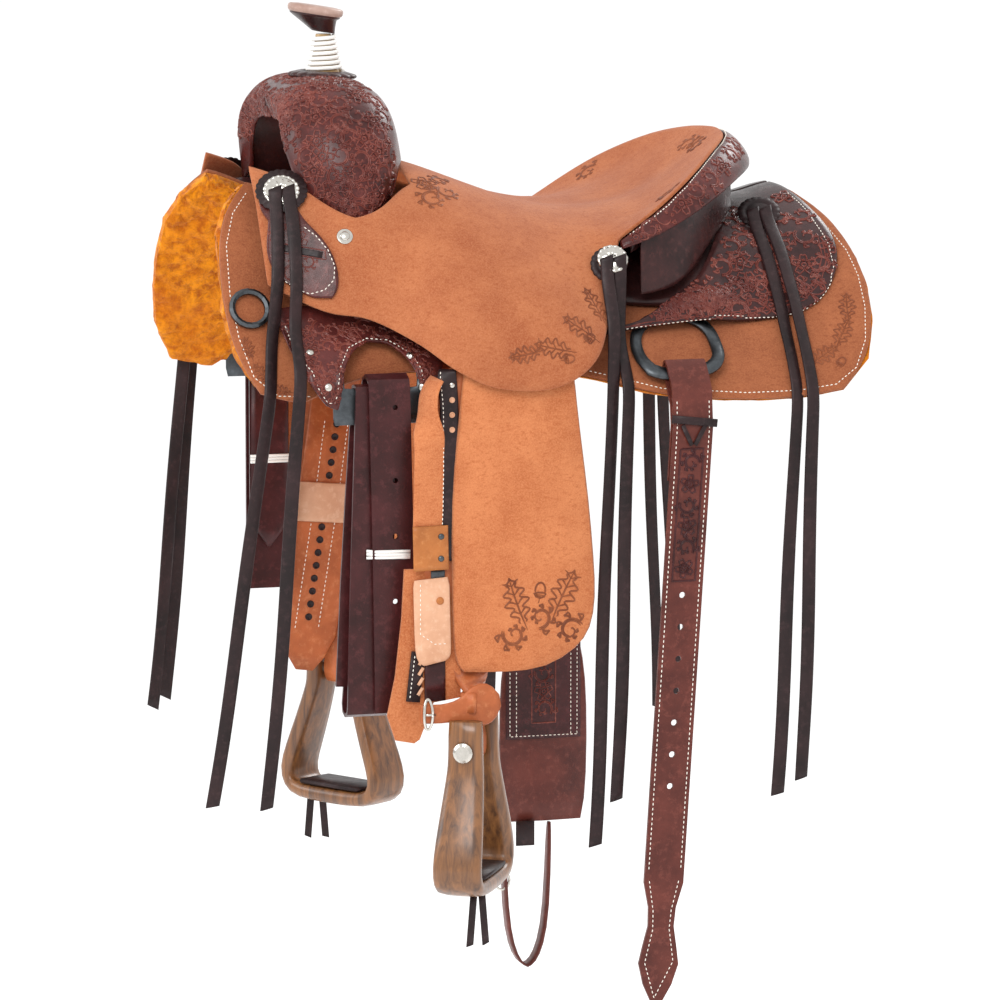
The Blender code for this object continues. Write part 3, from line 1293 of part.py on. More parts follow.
def lace_end(start, tip_x, tip_z, side, clear):
    """One end of a saddle string, draped over the leather and then hanging."""
    points = []
    count = 13
    out = abs(start.y)
    for k in range(1, count + 1):
        if k <= DRAPED_POINTS:
            z = start.z + (DRAPE_FOOT - start.z) * k / DRAPED_POINTS
        else:
            z = DRAPE_FOOT + (tip_z - DRAPE_FOOT) * (k - DRAPED_POINTS) / (count - DRAPED_POINTS)
        t = (start.z - z) / (start.z - tip_z)
        x = start.x + (tip_x - start.x) * (0.06 * smooth_step(k / 5) + 0.94 * t)
        out = max(out, leather_out(x, z, clear))
        points.append(Vector((x, side * out, z)))
    return points


LACE_BEND = 0.0090
DRAPE_FOOT = -0.135
DRAPED_POINTS = 8
LACE_CLEAR = 0.0065
LACES = {
    "near": {"front": ((-0.372, -0.526), (-0.3195, -0.526)), "mid": ((0.030, -0.581), (0.052, -0.532)),
             "rear": ((0.223, -0.532), (0.250, -0.516))},
    "off": {"front": ((-0.336, -0.491), (-0.314, -0.485)), "mid": ((0.030, -0.581), (0.052, -0.532)),
            "rear": ((0.266, -0.530), (0.290, -0.520))},
}
for side_name, side in SIDES:
    for place, tips in LACES[side_name].items():
        start, normal = STRING_PLACES[place + "_" + side_name]
        down = Vector((1, 0, 0)).cross(normal).normalized()
        if down.z > 0:
            down.negate()
        along = Vector((1, 0, 0))
        along = (along - normal * along.dot(normal)).normalized()
        ends = []
        for way, (tip_x, tip_z) in zip((-1, 1), tips):
            first = [start + along * (way * LACE_BEND) + down * 0.004,
                     start + along * (way * 0.0095) + down * 0.016,
                     start + along * (way * 0.0105) + down * 0.027]
            ends.append(first + lace_end(first[-1], tip_x, tip_z, side, LACE_CLEAR))
        bow = [start + along * (LACE_BEND * math.cos(a)) - down * (LACE_BEND * math.sin(a))
               for a in [math.pi * (1 - k / 6) for k in range(7)]]
        route = ends[0][::-1] + bow + ends[1]
        across = []
        for i, point in enumerate(route):
            ahead = (route[min(i + 1, len(route) - 1)] - route[max(i - 1, 0)]).normalized()
            level = min(i, len(route) - 1 - i)
            face = Vector((0, side, 0)).lerp(normal, smooth_step((level - 9) / 5))
            across.append(ahead.cross(face).normalized())
        strap("string_" + place + "_" + side_name, route, across, LACE_WIDTH, LACE_THICKNESS, LACE)

# Horn: steel core, cotton winding and leather cap
HORN_DIRECTION = Vector((-math.tan(HORN_LEAN), 0.0, 1.0))
HORN_BASE = Vector(HORN_FOOT) + Vector((0.0, 0.0, COVER_LEATHER + 0.0002))


def horn_radius(height):
    share = height / HORN_NECK_HEIGHT
    return HORN_NECK_FOOT_RADIUS + (HORN_NECK_TOP_RADIUS - HORN_NECK_FOOT_RADIUS) * share ** 0.7


horn_rings = []
for k in range(6):
    height = HORN_NECK_HEIGHT * k / 5
    radius = horn_radius(height) - 0.0015
    centre = HORN_BASE + HORN_DIRECTION * height
    horn_rings.append([centre + Vector((radius * math.cos(a), radius * math.sin(a), 0.0))
                       for a in [2 * math.pi * i / 16 for i in range(16)]])
loft("tree_horn", horn_rings, TREE)

WRAP_PITCH = WRAP_CORD + 0.0006
WRAP_POINTS = 18


def wrap_route():
    """One unbroken helix up the leaning neck of the horn."""
    route = []
    count = WRAP_TURNS * WRAP_POINTS
    for i in range(count + 1):
        angle = 2 * math.pi * i / WRAP_POINTS
        height = WRAP_CORD / 2 + 0.0006 + WRAP_PITCH * i / WRAP_POINTS
        radius = horn_radius(height) - 0.0015 + WRAP_CORD / 2 + 0.0007
        centre = HORN_BASE + HORN_DIRECTION * height
        route.append(centre + Vector((radius * math.cos(angle), radius * math.sin(angle), 0.0)))
    first = (route[0] - route[1]).normalized() * WRAP_CORD
    last = (route[-1] - route[-2]).normalized() * WRAP_CORD
    return [route[0] + first] + route + [route[-1] + last]


wrap_line = wrap_route()
wrap_gap = min((wrap_line[i] - wrap_line[j]).length for i in range(len(wrap_line))
               for j in range(i + WRAP_POINTS // 2, len(wrap_line))) - WRAP_CORD
print("least gap between turns of the horn wrap, mm:", round(wrap_gap * 1000, 2))
tube("horn_wrap", wrap_line, WRAP_CORD / 2, COTTON, sides=1)

cap_axis = Vector((math.sin(HORN_CAP_TILT), 0.0, math.cos(HORN_CAP_TILT)))
cap_foot = HORN_BASE + HORN_DIRECTION * (HORN_NECK_HEIGHT + 0.0006) + Vector((0.0, 0.0, 0.0012))
cap_top = HORN_FLARE_HEIGHT + HORN_CAP_THICKNESS - 0.004
cap_profile = [(0.0125, 0.0), (0.0160, 0.005), (HORN_CAP_RADIUS - 0.004, cap_top - 0.011),
               (HORN_CAP_RADIUS - 0.001, cap_top - 0.009), (HORN_CAP_RADIUS, cap_top - 0.005),
               (HORN_CAP_RADIUS - 0.0015, cap_top - 0.002), (HORN_CAP_RADIUS - 0.006, cap_top),
               (HORN_CAP_RADIUS * 0.4, cap_top)]
cap_frame = frame_at(cap_foot, Vector((1, 0, 0)), cap_axis)
cap_rings = []
for radius, height in cap_profile:
    reach = HORN_CAP_REACH * min(height / (cap_top - 0.011), 1.0)
    cap_rings.append([cap_frame @ Vector((radius * math.cos(a) - reach, radius * math.sin(a), height))
                      for a in [2 * math.pi * k / 24 for k in range(24)]])
loft("horn_cap", cap_rings, TOOLED)
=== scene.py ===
import math

import bmesh
import bpy
from mathutils import Matrix, Vector, noise
from mathutils.bvhtree import BVHTree


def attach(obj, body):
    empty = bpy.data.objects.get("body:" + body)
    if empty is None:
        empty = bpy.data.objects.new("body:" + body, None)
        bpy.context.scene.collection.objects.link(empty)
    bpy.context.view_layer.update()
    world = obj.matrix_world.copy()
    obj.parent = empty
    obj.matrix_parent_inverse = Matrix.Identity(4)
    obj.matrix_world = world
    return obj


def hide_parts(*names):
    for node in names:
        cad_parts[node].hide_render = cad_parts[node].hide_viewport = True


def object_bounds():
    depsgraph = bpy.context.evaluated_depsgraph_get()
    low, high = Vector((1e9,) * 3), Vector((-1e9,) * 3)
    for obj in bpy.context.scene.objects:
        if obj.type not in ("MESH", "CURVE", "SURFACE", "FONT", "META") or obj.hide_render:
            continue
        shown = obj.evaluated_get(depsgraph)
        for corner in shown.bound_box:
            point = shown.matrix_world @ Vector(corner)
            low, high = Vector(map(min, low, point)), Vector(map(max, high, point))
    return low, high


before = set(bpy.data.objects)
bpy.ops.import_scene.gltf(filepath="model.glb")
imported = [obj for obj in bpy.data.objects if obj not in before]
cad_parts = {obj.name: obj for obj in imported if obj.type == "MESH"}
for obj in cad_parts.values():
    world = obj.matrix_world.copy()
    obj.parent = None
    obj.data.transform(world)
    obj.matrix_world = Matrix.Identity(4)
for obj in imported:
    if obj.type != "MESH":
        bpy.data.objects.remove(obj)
cad_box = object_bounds()

# Camera
# A long lens about seven metres off, a little ahead of square to the saddle's near side and
# a little above it, as the product was photographed.
VIEW_TURN = math.radians(-16.5)
VIEW_RISE = math.radians(7.8)
VIEW_DISTANCE = 6.9
VIEW_MIDDLE = Vector((0.0, 0.0, -0.247))
backwards = Vector((math.sin(VIEW_TURN) * math.cos(VIEW_RISE), -math.cos(VIEW_TURN) * math.cos(VIEW_RISE),
                    math.sin(VIEW_RISE)))
lens = bpy.data.cameras.new("camera")
lens.sensor_width = 36.0
lens.lens = 231.0
lens.clip_end = 60.0
camera = bpy.data.objects.new("camera", lens)
camera.location = VIEW_MIDDLE + backwards * VIEW_DISTANCE
camera.rotation_euler = backwards.to_track_quat("Z", "Y").to_euler()
bpy.context.scene.collection.objects.link(camera)
bpy.context.scene.camera = camera

# Studio
# White painted floor under a white sky, one broad soft light over the near side, a weaker one
# from the horse's head and one from behind that gives the leather its edge.


def linear(hex_colour):
    """An sRGB colour such as "c98a5f" as linear light."""
    parts = [int(hex_colour[k:k + 2], 16) / 255 for k in (0, 2, 4)]
    return [c / 12.92 if c <= 0.04045 else ((c + 0.055) / 1.055) ** 2.4 for c in parts] + [1.0]


def add_node(material, kind, settings=None, **links):
    """Adds a node, sets its properties and sockets, and links it to other nodes' outputs.

    A socket goes by its name, or by its number where names repeat: 6 and 7 are a Mix's two colours.
    """
    tree = material.node_tree
    made = tree.nodes.new(kind)
    for key, value in list((settings or {}).items()) + list(links.items()):
        if isinstance(value, bpy.types.NodeSocket):
            tree.links.new(value, made.inputs[key])
        elif isinstance(key, int) or key in made.inputs.keys():
            made.inputs[key].default_value = value
        else:
            setattr(made, key, value)
    return made


def bare_material(name):
    """A material with only its shader and output, and the shader itself."""
    material = bpy.data.materials.new(name)
    material.use_nodes = True
    return material, material.node_tree.nodes["Principled BSDF"]


# Matt emulsion: an even white with no highlight.
floor_paint, shader = bare_material("matt_white_floor_paint")
shader.inputs["Base Color"].default_value = linear("ffffff")
shader.inputs["Roughness"].default_value = 0.9
HANGING_HEIGHT = 0.40
FLOOR_SIDE = 60.0
bpy.ops.mesh.primitive_plane_add(size=FLOOR_SIDE, location=(0.0, 0.0, cad_box[0][2] - HANGING_HEIGHT))
floor = bpy.context.object
floor.name = "floor"
floor.data.materials.append(floor_paint)

sky = bpy.data.worlds.new("studio")
bpy.context.scene.world = sky
sky.use_nodes = True
sky.node_tree.nodes["Background"].inputs["Color"].default_value = (1.0, 1.0, 1.0, 1.0)
sky.node_tree.nodes["Background"].inputs["Strength"].default_value = 1.06

LIT_SPOT = Vector((0.0, 0.0, -0.2))
for name, place, size, watts in (("broad_front_light", (-1.6, -2.6, 1.9), 1.6, 62.0),
                                 ("head_light", (-3.0, 0.6, 1.0), 1.4, 26.0),
                                 ("rear_edge_light", (2.2, 1.8, 1.8), 1.2, 34.0)):
    glow = bpy.data.lights.new(name, "AREA")
    glow.size = size
    glow.energy = watts
    light = bpy.data.objects.new(name, glow)
    light.location = Vector(place)
    light.rotation_euler = (light.location - LIT_SPOT).to_track_quat("Z", "Y").to_euler()
    bpy.context.scene.collection.objects.link(light)
bpy.context.scene.view_settings.view_transform = "Standard"

# Saddle tree
# Bars, fork and cantle of laminated wood with a steel horn, sewn into wet rawhide, which dries pale
# and glossy under varnish. It shows only at the horn's neck. Leather covers the bars, the fork and
# the cantle board, so they are drawn with the oiled leathers further on.

# Here and further on, a noise's scale is about how many of its marks lie along a metre.
CLOUDS_PER_METRE = 40.0
# Dried rawhide is hard and mottled amber, with small wrinkles, and its varnish adds a soft highlight.
rawhide, shader = bare_material("varnished_rawhide")
shader.inputs["Roughness"].default_value = 0.38
shader.inputs["Coat Weight"].default_value = 0.3
place = add_node(rawhide, "ShaderNodeTexCoord")
clouds = add_node(rawhide, "ShaderNodeTexNoise", {"Scale": CLOUDS_PER_METRE, "Detail": 5.0},
                  Vector=place.outputs["Object"])
tint = add_node(rawhide, "ShaderNodeMix", {"data_type": "RGBA", 6: linear("c9a469"), 7: linear("8f6a38")},
                Factor=clouds.outputs["Fac"])
rawhide.node_tree.links.new(tint.outputs[2], shader.inputs["Base Color"])
wrinkles = add_node(rawhide, "ShaderNodeBump", {"Strength": 0.35, "Distance": 0.0008},
                    Height=clouds.outputs["Fac"])
rawhide.node_tree.links.new(wrinkles.outputs["Normal"], shader.inputs["Normal"])
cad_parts["tree_horn"].data.materials[0] = rawhide

# Roughout leather
# Skirting leather worn flesh side out: tan and matt, with a short nap, brush marks and darker smudges
# where hands have been. The seat and front jockeys are one hide, drawn down wet over the tree. The
# nap's fibres are 0.1 mm thick in life and are drawn about 1.6 mm apart, so that they show.


def finer(node, name, body, material, levels=1, crisp=38, crease=0.75):
    """A closer-grained copy of a CAD piece: welded, in quads, its cut edges kept crisp."""
    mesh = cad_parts[node].data.copy()
    mesh.name = name
    work = bmesh.new()
    work.from_mesh(mesh)
    bmesh.ops.remove_doubles(work, verts=work.verts, dist=2e-6)
    bmesh.ops.join_triangles(work, faces=work.faces, angle_face_threshold=math.radians(30),
                             angle_shape_threshold=math.radians(70))
    keep = work.edges.layers.float.get("crease_edge") or work.edges.layers.float.new("crease_edge")
    for edge in work.edges:
        if edge.calc_face_angle(0.0) > math.radians(crisp):
            edge[keep] = crease
            edge.smooth = levels > 0
    for face in work.faces:
        face.smooth = True
    work.to_mesh(mesh)
    work.free()
    mesh.materials.clear()
    mesh.materials.append(material)
    piece = bpy.data.objects.new(name, mesh)
    bpy.context.scene.collection.objects.link(piece)
    if levels:
        rounding = piece.modifiers.new("rounding", "SUBSURF")
        rounding.levels = levels
        rounding.render_levels = levels
    else:
        piece.modifiers.new("even_shading", "WEIGHTED_NORMAL").keep_sharp = True
    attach(piece, body)
    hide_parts(node)
    return piece


def roughout(name, light, mid, dark):
    """Leather worn flesh side out, in three tones of one dye."""
    smudges_per_metre = 16.0
    fibres_per_metre = 620.0
    brush_marks_per_metre = (170.0, 170.0, 330.0)
    # The open fibre scatters light: no clear highlight, only a faint sheen where it is seen edge on.
    material, shader = bare_material(name)
    shader.inputs["Roughness"].default_value = 0.92
    shader.inputs["Specular IOR Level"].default_value = 0.25
    shader.inputs["Sheen Weight"].default_value = 0.10
    shader.inputs["Sheen Roughness"].default_value = 0.45
    spot = add_node(material, "ShaderNodeTexCoord").outputs["Object"]
    clouds = add_node(material, "ShaderNodeTexNoise",
                      {"Scale": smudges_per_metre, "Detail": 6.0, "Roughness": 0.62}, Vector=spot)
    nap = add_node(material, "ShaderNodeTexNoise",
                   {"Scale": fibres_per_metre, "Detail": 4.0, "Roughness": 0.7}, Vector=spot)
    long_way = add_node(material, "ShaderNodeMapping",
                        {"Scale": brush_marks_per_metre, "Rotation": (0.3, 0.8, 0.2)},
                        Vector=spot)
    marks = add_node(material, "ShaderNodeTexNoise", {"Scale": 1.0, "Detail": 5.0, "Roughness": 0.75},
                     Vector=long_way.outputs["Vector"])
    tone = add_node(material, "ShaderNodeValToRGB", Fac=clouds.outputs["Fac"])
    tone.color_ramp.elements[0].position = 0.36
    tone.color_ramp.elements[0].color = linear(dark)
    tone.color_ramp.elements[1].position = 0.62
    tone.color_ramp.elements[1].color = linear(mid)
    fibre = add_node(material, "ShaderNodeMapRange",
                     {"From Min": 0.38, "From Max": 0.66, "To Min": 0.0, "To Max": 0.55},
                     Value=nap.outputs["Fac"])
    paler = add_node(material, "ShaderNodeMix",
                     {"data_type": "RGBA", 6: tone.outputs["Color"], 7: linear(light)},
                     Factor=fibre.outputs["Result"])
    scuffs = add_node(material, "ShaderNodeMapRange",
                      {"From Min": 0.52, "From Max": 0.66, "To Min": 0.0, "To Max": 0.75},
                      Value=marks.outputs["Fac"])
    scuffed = add_node(material, "ShaderNodeMix",
                       {"data_type": "RGBA", 6: paler.outputs[2], 7: linear(dark)},
                       Factor=scuffs.outputs["Result"])
    material.node_tree.links.new(scuffed.outputs[2], shader.inputs["Base Color"])
    coarse = add_node(material, "ShaderNodeBump", {"Strength": 0.6, "Distance": 0.0009},
                      Height=marks.outputs["Fac"])
    fine = add_node(material, "ShaderNodeBump", {"Strength": 0.6, "Distance": 0.0007},
                    Height=nap.outputs["Fac"], Normal=coarse.outputs["Normal"])
    material.node_tree.links.new(fine.outputs["Normal"], shader.inputs["Normal"])
    return material


tan_roughout = roughout("tan_roughout_leather", "c07e57", "ad6640", "974f2e")
fender_roughout = roughout("paler_fender_roughout_leather", "d58e60", "c27549", "a95b33")
brown_roughout = roughout("browner_skirt_roughout_leather", "b26f48", "9c5a39", "83462b")

seat = finer("seat_cover", "seat_and_front_jockeys", "saddle", tan_roughout, levels=2)
for side in ("near", "off"):
    finer("skirt_" + side, "skirt_leather_" + side, "saddle", brown_roughout, levels=2)
    finer("fender_" + side, "fender_leather_" + side, "fender_" + side, fender_roughout,
          levels=1, crease=0.9)

# Oiled and dyed leathers
# Vegetable-tanned leather, grain side out. Dye and oil leave it satin with a fine pebble of pores,
# redder and shinier where it is rubbed and near black in the low places. The pieces of the tree that
# it covers are drawn here too. Straps with punched holes keep the solid's own crisp edges.


def grain_leather(name, base, deep, worn, rough):
    """Leather with its grain side out: a base tone, darker hollows and warmer rubbed places."""
    clouds_per_metre = 22.0
    streaks_per_metre = 130.0
    pebble_mm = 1.1
    pebble_depth = 0.00016
    # Oiled grain is satin: a broad soft highlight, brighter where rubbing has closed the pores.
    material, shader = bare_material(name)
    shader.inputs["Specular IOR Level"].default_value = 0.26
    shader.inputs["Coat Weight"].default_value = 0.07
    shader.inputs["Coat Roughness"].default_value = 0.28
    spot = add_node(material, "ShaderNodeTexCoord").outputs["Object"]
    clouds = add_node(material, "ShaderNodeTexNoise",
                      {"Scale": clouds_per_metre, "Detail": 6.0, "Roughness": 0.6}, Vector=spot)
    pores = add_node(material, "ShaderNodeTexVoronoi", {"Scale": 1000.0 / pebble_mm, "Randomness": 1.0},
                     Vector=spot)
    streaks = add_node(material, "ShaderNodeTexNoise",
                       {"Scale": streaks_per_metre, "Detail": 8.0, "Roughness": 0.7}, Vector=spot)
    tone = add_node(material, "ShaderNodeValToRGB", Fac=clouds.outputs["Fac"])
    tone.color_ramp.elements[0].position = 0.34
    tone.color_ramp.elements[0].color = linear(deep)
    tone.color_ramp.elements[1].position = 0.66
    tone.color_ramp.elements[1].color = linear(base)
    rubbed = add_node(material, "ShaderNodeMapRange",
                      {"From Min": 0.52, "From Max": 0.72, "To Min": 0.0, "To Max": 0.5},
                      Value=streaks.outputs["Fac"])
    colour = add_node(material, "ShaderNodeMix",
                      {"data_type": "RGBA", 6: tone.outputs["Color"], 7: linear(worn)},
                      Factor=rubbed.outputs["Result"])
    material.node_tree.links.new(colour.outputs[2], shader.inputs["Base Color"])
    gloss = add_node(material, "ShaderNodeMapRange",
                     {"From Min": 0.3, "From Max": 0.7, "To Min": rough + 0.09, "To Max": rough - 0.08},
                     Value=streaks.outputs["Fac"])
    material.node_tree.links.new(gloss.outputs["Result"], shader.inputs["Roughness"])
    dents = add_node(material, "ShaderNodeBump", {"Strength": 0.3, "Distance": 0.0006},
                     Height=streaks.outputs["Fac"])
    pebble = add_node(material, "ShaderNodeBump", {"Strength": 0.5, "Distance": pebble_depth},
                      Height=pores.outputs["Distance"], Normal=dents.outputs["Normal"])
    material.node_tree.links.new(pebble.outputs["Normal"], shader.inputs["Normal"])
    return material


# Tooled leather is burnished, so it shines more. Harness and lace leather are waxed and duller.
tooled_leather = grain_leather("tooled_red_brown_leather", "5a2623", "331210", "86433c", 0.28)
jockey_leather = grain_leather("tooled_dark_oiled_leather", "3f2120", "251111", "633835", 0.30)
burgundy_leather = grain_leather("burgundy_latigo_leather", "451c1d", "2c0f0f", "683536", 0.34)
russet_leather = grain_leather("russet_skirting_leather", "b9653a", "954e2b", "cf8a5c", 0.46)
cinch_leather = grain_leather("reddish_harness_leather", "652f26", "471d17", "86483d", 0.38)
lace_leather = grain_leather("black_brown_lace_leather", "2b191a", "180c0d", "463031", 0.48)

for node in ("cantle_roll", "swell_cover"):
    finer(node, node + "_leather", "saddle", tooled_leather, levels=2)
for node in ("cantle_back", "horn_cap", "tree_fork", "tree_cantle", "tree_bar_near", "tree_bar_off"):
    finer(node, node + "_leather", "saddle", jockey_leather, levels=2)
finer("ground_seat", "ground_seat_leather", "saddle", russet_leather, levels=1)
for side in ("near", "off"):
    for node in ("rigging_cover_", "latigo_keeper_"):
        finer(node + side, node + "leather_" + side, "saddle", tooled_leather,
              levels=2)
    finer("rear_jockey_" + side, "rear_jockey_leather_" + side, "saddle",
          jockey_leather, levels=2)
    finer("stirrup_leather_" + side, "stirrup_leather_fold_" + side, "fender_" + side,
          russet_leather, levels=1)
    finer("hobble_strap_" + side, "hobble_strap_band_" + side, "fender_" + side,
          russet_leather)
    finer("stirrup_tread_" + side, "stirrup_tread_cover_" + side, "stirrup_" + side,
          lace_leather)
finer("latigo_near", "latigo_strap_near", "latigo_near", burgundy_leather, levels=0)
finer("billet_off", "billet_strap_off", "billet_off", burgundy_leather, levels=0)
finer("rear_billet_near", "rear_billet_strap_near", "rear_billet_near", cinch_leather,
      levels=0)
finer("rear_billet_off", "rear_billet_strap_off", "rear_billet_off", cinch_leather,
      levels=0)
finer("flank_cinch", "flank_cinch_strap", "rear_billet_off", cinch_leather, levels=1)
finer("cinch_connector", "cinch_connector_strap", "cinch_connector", cinch_leather,
      levels=1)

# Fleece
# Woolskin lining under the skirts, dyed golden. The pile is 13 mm of curled wool that has been
# brushed into tufts, so its face is lumpy and its edge shows ragged beyond the leather.


def skin_of(*pieces):
    """The finished outer surfaces of some pieces, to lay other things on."""
    bpy.context.view_layer.update()
    ready = bpy.context.evaluated_depsgraph_get()
    points = []
    faces = []
    for piece in pieces:
        shape = piece.evaluated_get(ready)
        mesh = shape.to_mesh()
        start = len(points)
        points += [piece.matrix_world @ v.co for v in mesh.vertices]
        faces += [[start + k for k in face.vertices] for face in mesh.polygons]
        shape.to_mesh_clear()
    return BVHTree.FromPolygons(points, faces)


TUFTS_PER_METRE = 90.0
PATCHES_PER_METRE = 14.0
# Curled wool is matt and deep, with a faint sheen at its edge. Its tufts are golden with random tone,
# and darker where their bump sinks: painted shade between the tufts.
wool, shader = bare_material("golden_dyed_wool")
shader.inputs["Roughness"].default_value = 0.95
shader.inputs["Specular IOR Level"].default_value = 0.15
shader.inputs["Sheen Weight"].default_value = 0.12
shader.inputs["Sheen Roughness"].default_value = 0.5
place = add_node(wool, "ShaderNodeTexCoord")
tufts = add_node(wool, "ShaderNodeTexNoise", {"Scale": TUFTS_PER_METRE, "Detail": 6.0, "Roughness": 0.7},
                 Vector=place.outputs["Object"])
patches = add_node(wool, "ShaderNodeTexNoise", {"Scale": PATCHES_PER_METRE, "Detail": 3.0},
                   Vector=place.outputs["Object"])
shade = add_node(wool, "ShaderNodeValToRGB", Fac=tufts.outputs["Fac"])
shade.color_ramp.elements[0].position = 0.36
shade.color_ramp.elements[0].color = linear("b05a04")
shade.color_ramp.elements[1].position = 0.60
shade.color_ramp.elements[1].color = linear("ee9410")
deep = add_node(wool, "ShaderNodeMapRange",
                {"From Min": 0.44, "From Max": 0.72, "To Min": 0.0, "To Max": 0.55},
                Value=patches.outputs["Fac"])
golden = add_node(wool, "ShaderNodeMix",
                  {"data_type": "RGBA", 6: shade.outputs["Color"], 7: linear("c05a06")},
                  Factor=deep.outputs["Result"])
wool.node_tree.links.new(golden.outputs[2], shader.inputs["Base Color"])
curls = add_node(wool, "ShaderNodeBump", {"Strength": 1.0, "Distance": 0.005}, Height=tufts.outputs["Fac"])
wool.node_tree.links.new(curls.outputs["Normal"], shader.inputs["Normal"])

LUMP_HEIGHT = 0.0046
FLAT_UNDER_LEATHER = 0.0022
RISES_OVER = 0.0040
FORK_X = -0.22
for side in ("near", "off"):
    pile = finer("fleece_" + side, "fleece_pile_" + side, "saddle", wool, levels=0)
    leather_skin = skin_of(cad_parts["skirt_" + side])
    work = bmesh.new()
    work.from_mesh(pile.data)
    bmesh.ops.subdivide_edges(work, edges=work.edges, cuts=5, use_grid_fill=True)
    work.normal_update()
    moved = []
    for vert in work.verts:
        spot = vert.co
        lump = (noise.noise(spot * 95.0) + 0.7 * abs(noise.noise(spot * 210.0))
                + 0.3 * noise.noise(spot * 420.0))
        gap = leather_skin.find_nearest(spot)[3]
        free = min(max((gap - FLAT_UNDER_LEATHER) / RISES_OVER, 0.0), 1.0)
        moved.append(spot + vert.normal * (LUMP_HEIGHT * (lump + 0.1) * free))
    # Past the skirt's edge the pile is trimmed: closely on the near side, where only a sliver shows,
    # and right back under the leather ahead of the fork. The off side's shows more of it.
    outward = -1.0 if side == "near" else 1.0
    for vert, spot in zip(work.verts, moved):
        outside = Vector((spot.x, 0.6 * outward, spot.z))
        if leather_skin.ray_cast(outside, Vector((0.0, -outward, 0.0)))[0] is None:
            edge = leather_skin.find_nearest(spot)[0]
            keep = 0.45
            if side == "near":
                keep = -0.9 if spot.x < FORK_X else 0.12
            spot = Vector((edge.x + (spot.x - edge.x) * keep, spot.y, edge.z + (spot.z - edge.z) * keep))
        vert.co = spot
    for face in work.faces:
        face.smooth = True
    work.to_mesh(pile.data)
    work.free()

# Steel fittings
# Rigging plates and rear dees of steel with a dark heat finish, and polished plated steel for the off
# front dee, conchos, stirrup bolts and buckles. The near front dee is plated too, but is drawn in the dark
# steel: painted dark reflection. The plates are riveted between the rigging leathers, and each dee hangs
# in a leather loop.


def steel(name, bright, dull, rough):
    """Steel with fine wear in its gloss and tone."""
    smears_per_metre = 120.0
    # Dark finish gives small grey-blue glints, and plating mirrors the studio, blurred by fine scratches.
    material, shader = bare_material(name)
    shader.inputs["Metallic"].default_value = 1.0
    place = add_node(material, "ShaderNodeTexCoord")
    smears = add_node(material, "ShaderNodeTexNoise",
                      {"Scale": smears_per_metre, "Detail": 7.0, "Roughness": 0.7},
                      Vector=place.outputs["Object"])
    tone = add_node(material, "ShaderNodeMix", {"data_type": "RGBA", 6: linear(dull), 7: linear(bright)},
                    Factor=smears.outputs["Fac"])
    material.node_tree.links.new(tone.outputs[2], shader.inputs["Base Color"])
    gloss = add_node(material, "ShaderNodeMapRange",
                     {"From Min": 0.3, "From Max": 0.7, "To Min": rough + 0.12, "To Max": rough},
                     Value=smears.outputs["Fac"])
    material.node_tree.links.new(gloss.outputs["Result"], shader.inputs["Roughness"])
    return material


blued_steel = steel("dark_finished_steel", "6b7074", "2c2e31", 0.34)
bright_steel = steel("polished_plated_steel", "e6e2da", "a9a49c", 0.16)
for side in ("near", "off"):
    for node in ("rigging_plate_", "rear_dee_"):
        finer(node + side, node + "steel_" + side, "saddle", blued_steel, crease=0.85)
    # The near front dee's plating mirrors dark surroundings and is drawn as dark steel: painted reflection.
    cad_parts["front_dee_" + side].data.materials[0] = blued_steel if side == "near" else bright_steel
    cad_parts["stirrup_bolt_" + side].data.materials[0] = bright_steel

# Conchos
# Stamped and engraved plated buttons with a fluted rim, each on a leather rosette whose edge is cut
# in scallops. The saddle strings come out through its middle and hold the leathers to the tree.


def place_frame(point, normal):
    """Axes at a point of the leather: along the saddle, up the leather, and out of it."""
    along = Vector((1.0, 0.0, 0.0))
    along = (along - normal * along.dot(normal)).normalized()
    return Matrix((along, normal.cross(along), normal)).transposed().to_4x4()


def solid(name, points, faces, material, body, smooth=True):
    """A piece of the scene from points and faces, which goes with a body."""
    mesh = bpy.data.meshes.new(name)
    mesh.from_pydata([tuple(p) for p in points], [], faces)
    mesh.validate()
    for face in mesh.polygons:
        face.use_smooth = smooth
    mesh.materials.append(material)
    piece = bpy.data.objects.new(name, mesh)
    bpy.context.scene.collection.objects.link(piece)
    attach(piece, body)
    return piece


def round_relief(name, point, normal, profile, material, body, segments=72):
    """A turned piece whose radius and height may vary with the angle."""
    matrix = place_frame(point, normal)
    points = []
    faces = []
    rings = len(profile)
    for i in range(segments):
        angle = 2.0 * math.pi * i / segments
        for radius, height in profile:
            r = radius(angle) if callable(radius) else radius
            h = height(angle) if callable(height) else height
            points.append(point + matrix.to_3x3() @ Vector((r * math.cos(angle), r * math.sin(angle), h)))
    for i in range(segments):
        a = i * rings
        b = (i + 1) % segments * rings
        for k in range(rings - 1):
            faces.append([a + k, b + k, b + k + 1, a + k + 1])
    return solid(name, points, faces, material, body)


def concho_of(node):
    """Where a CAD concho's foot is, its outward way and its radius."""
    corners = [v.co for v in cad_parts[node].data.vertices]
    middle = sum(corners, Vector()) / len(corners)
    rim = max((c - middle).length for c in corners)
    foot = [c for c in corners if (c - middle).length > rim * 0.97]
    way = Vector()
    for k in range(1, len(foot) - 1):
        part = (foot[k] - foot[0]).cross(foot[k + 1] - foot[0])
        way += part if part.y * middle.y > 0 else -part
    way.normalize()
    centre = sum(foot, Vector()) / len(foot)
    return centre, way, rim


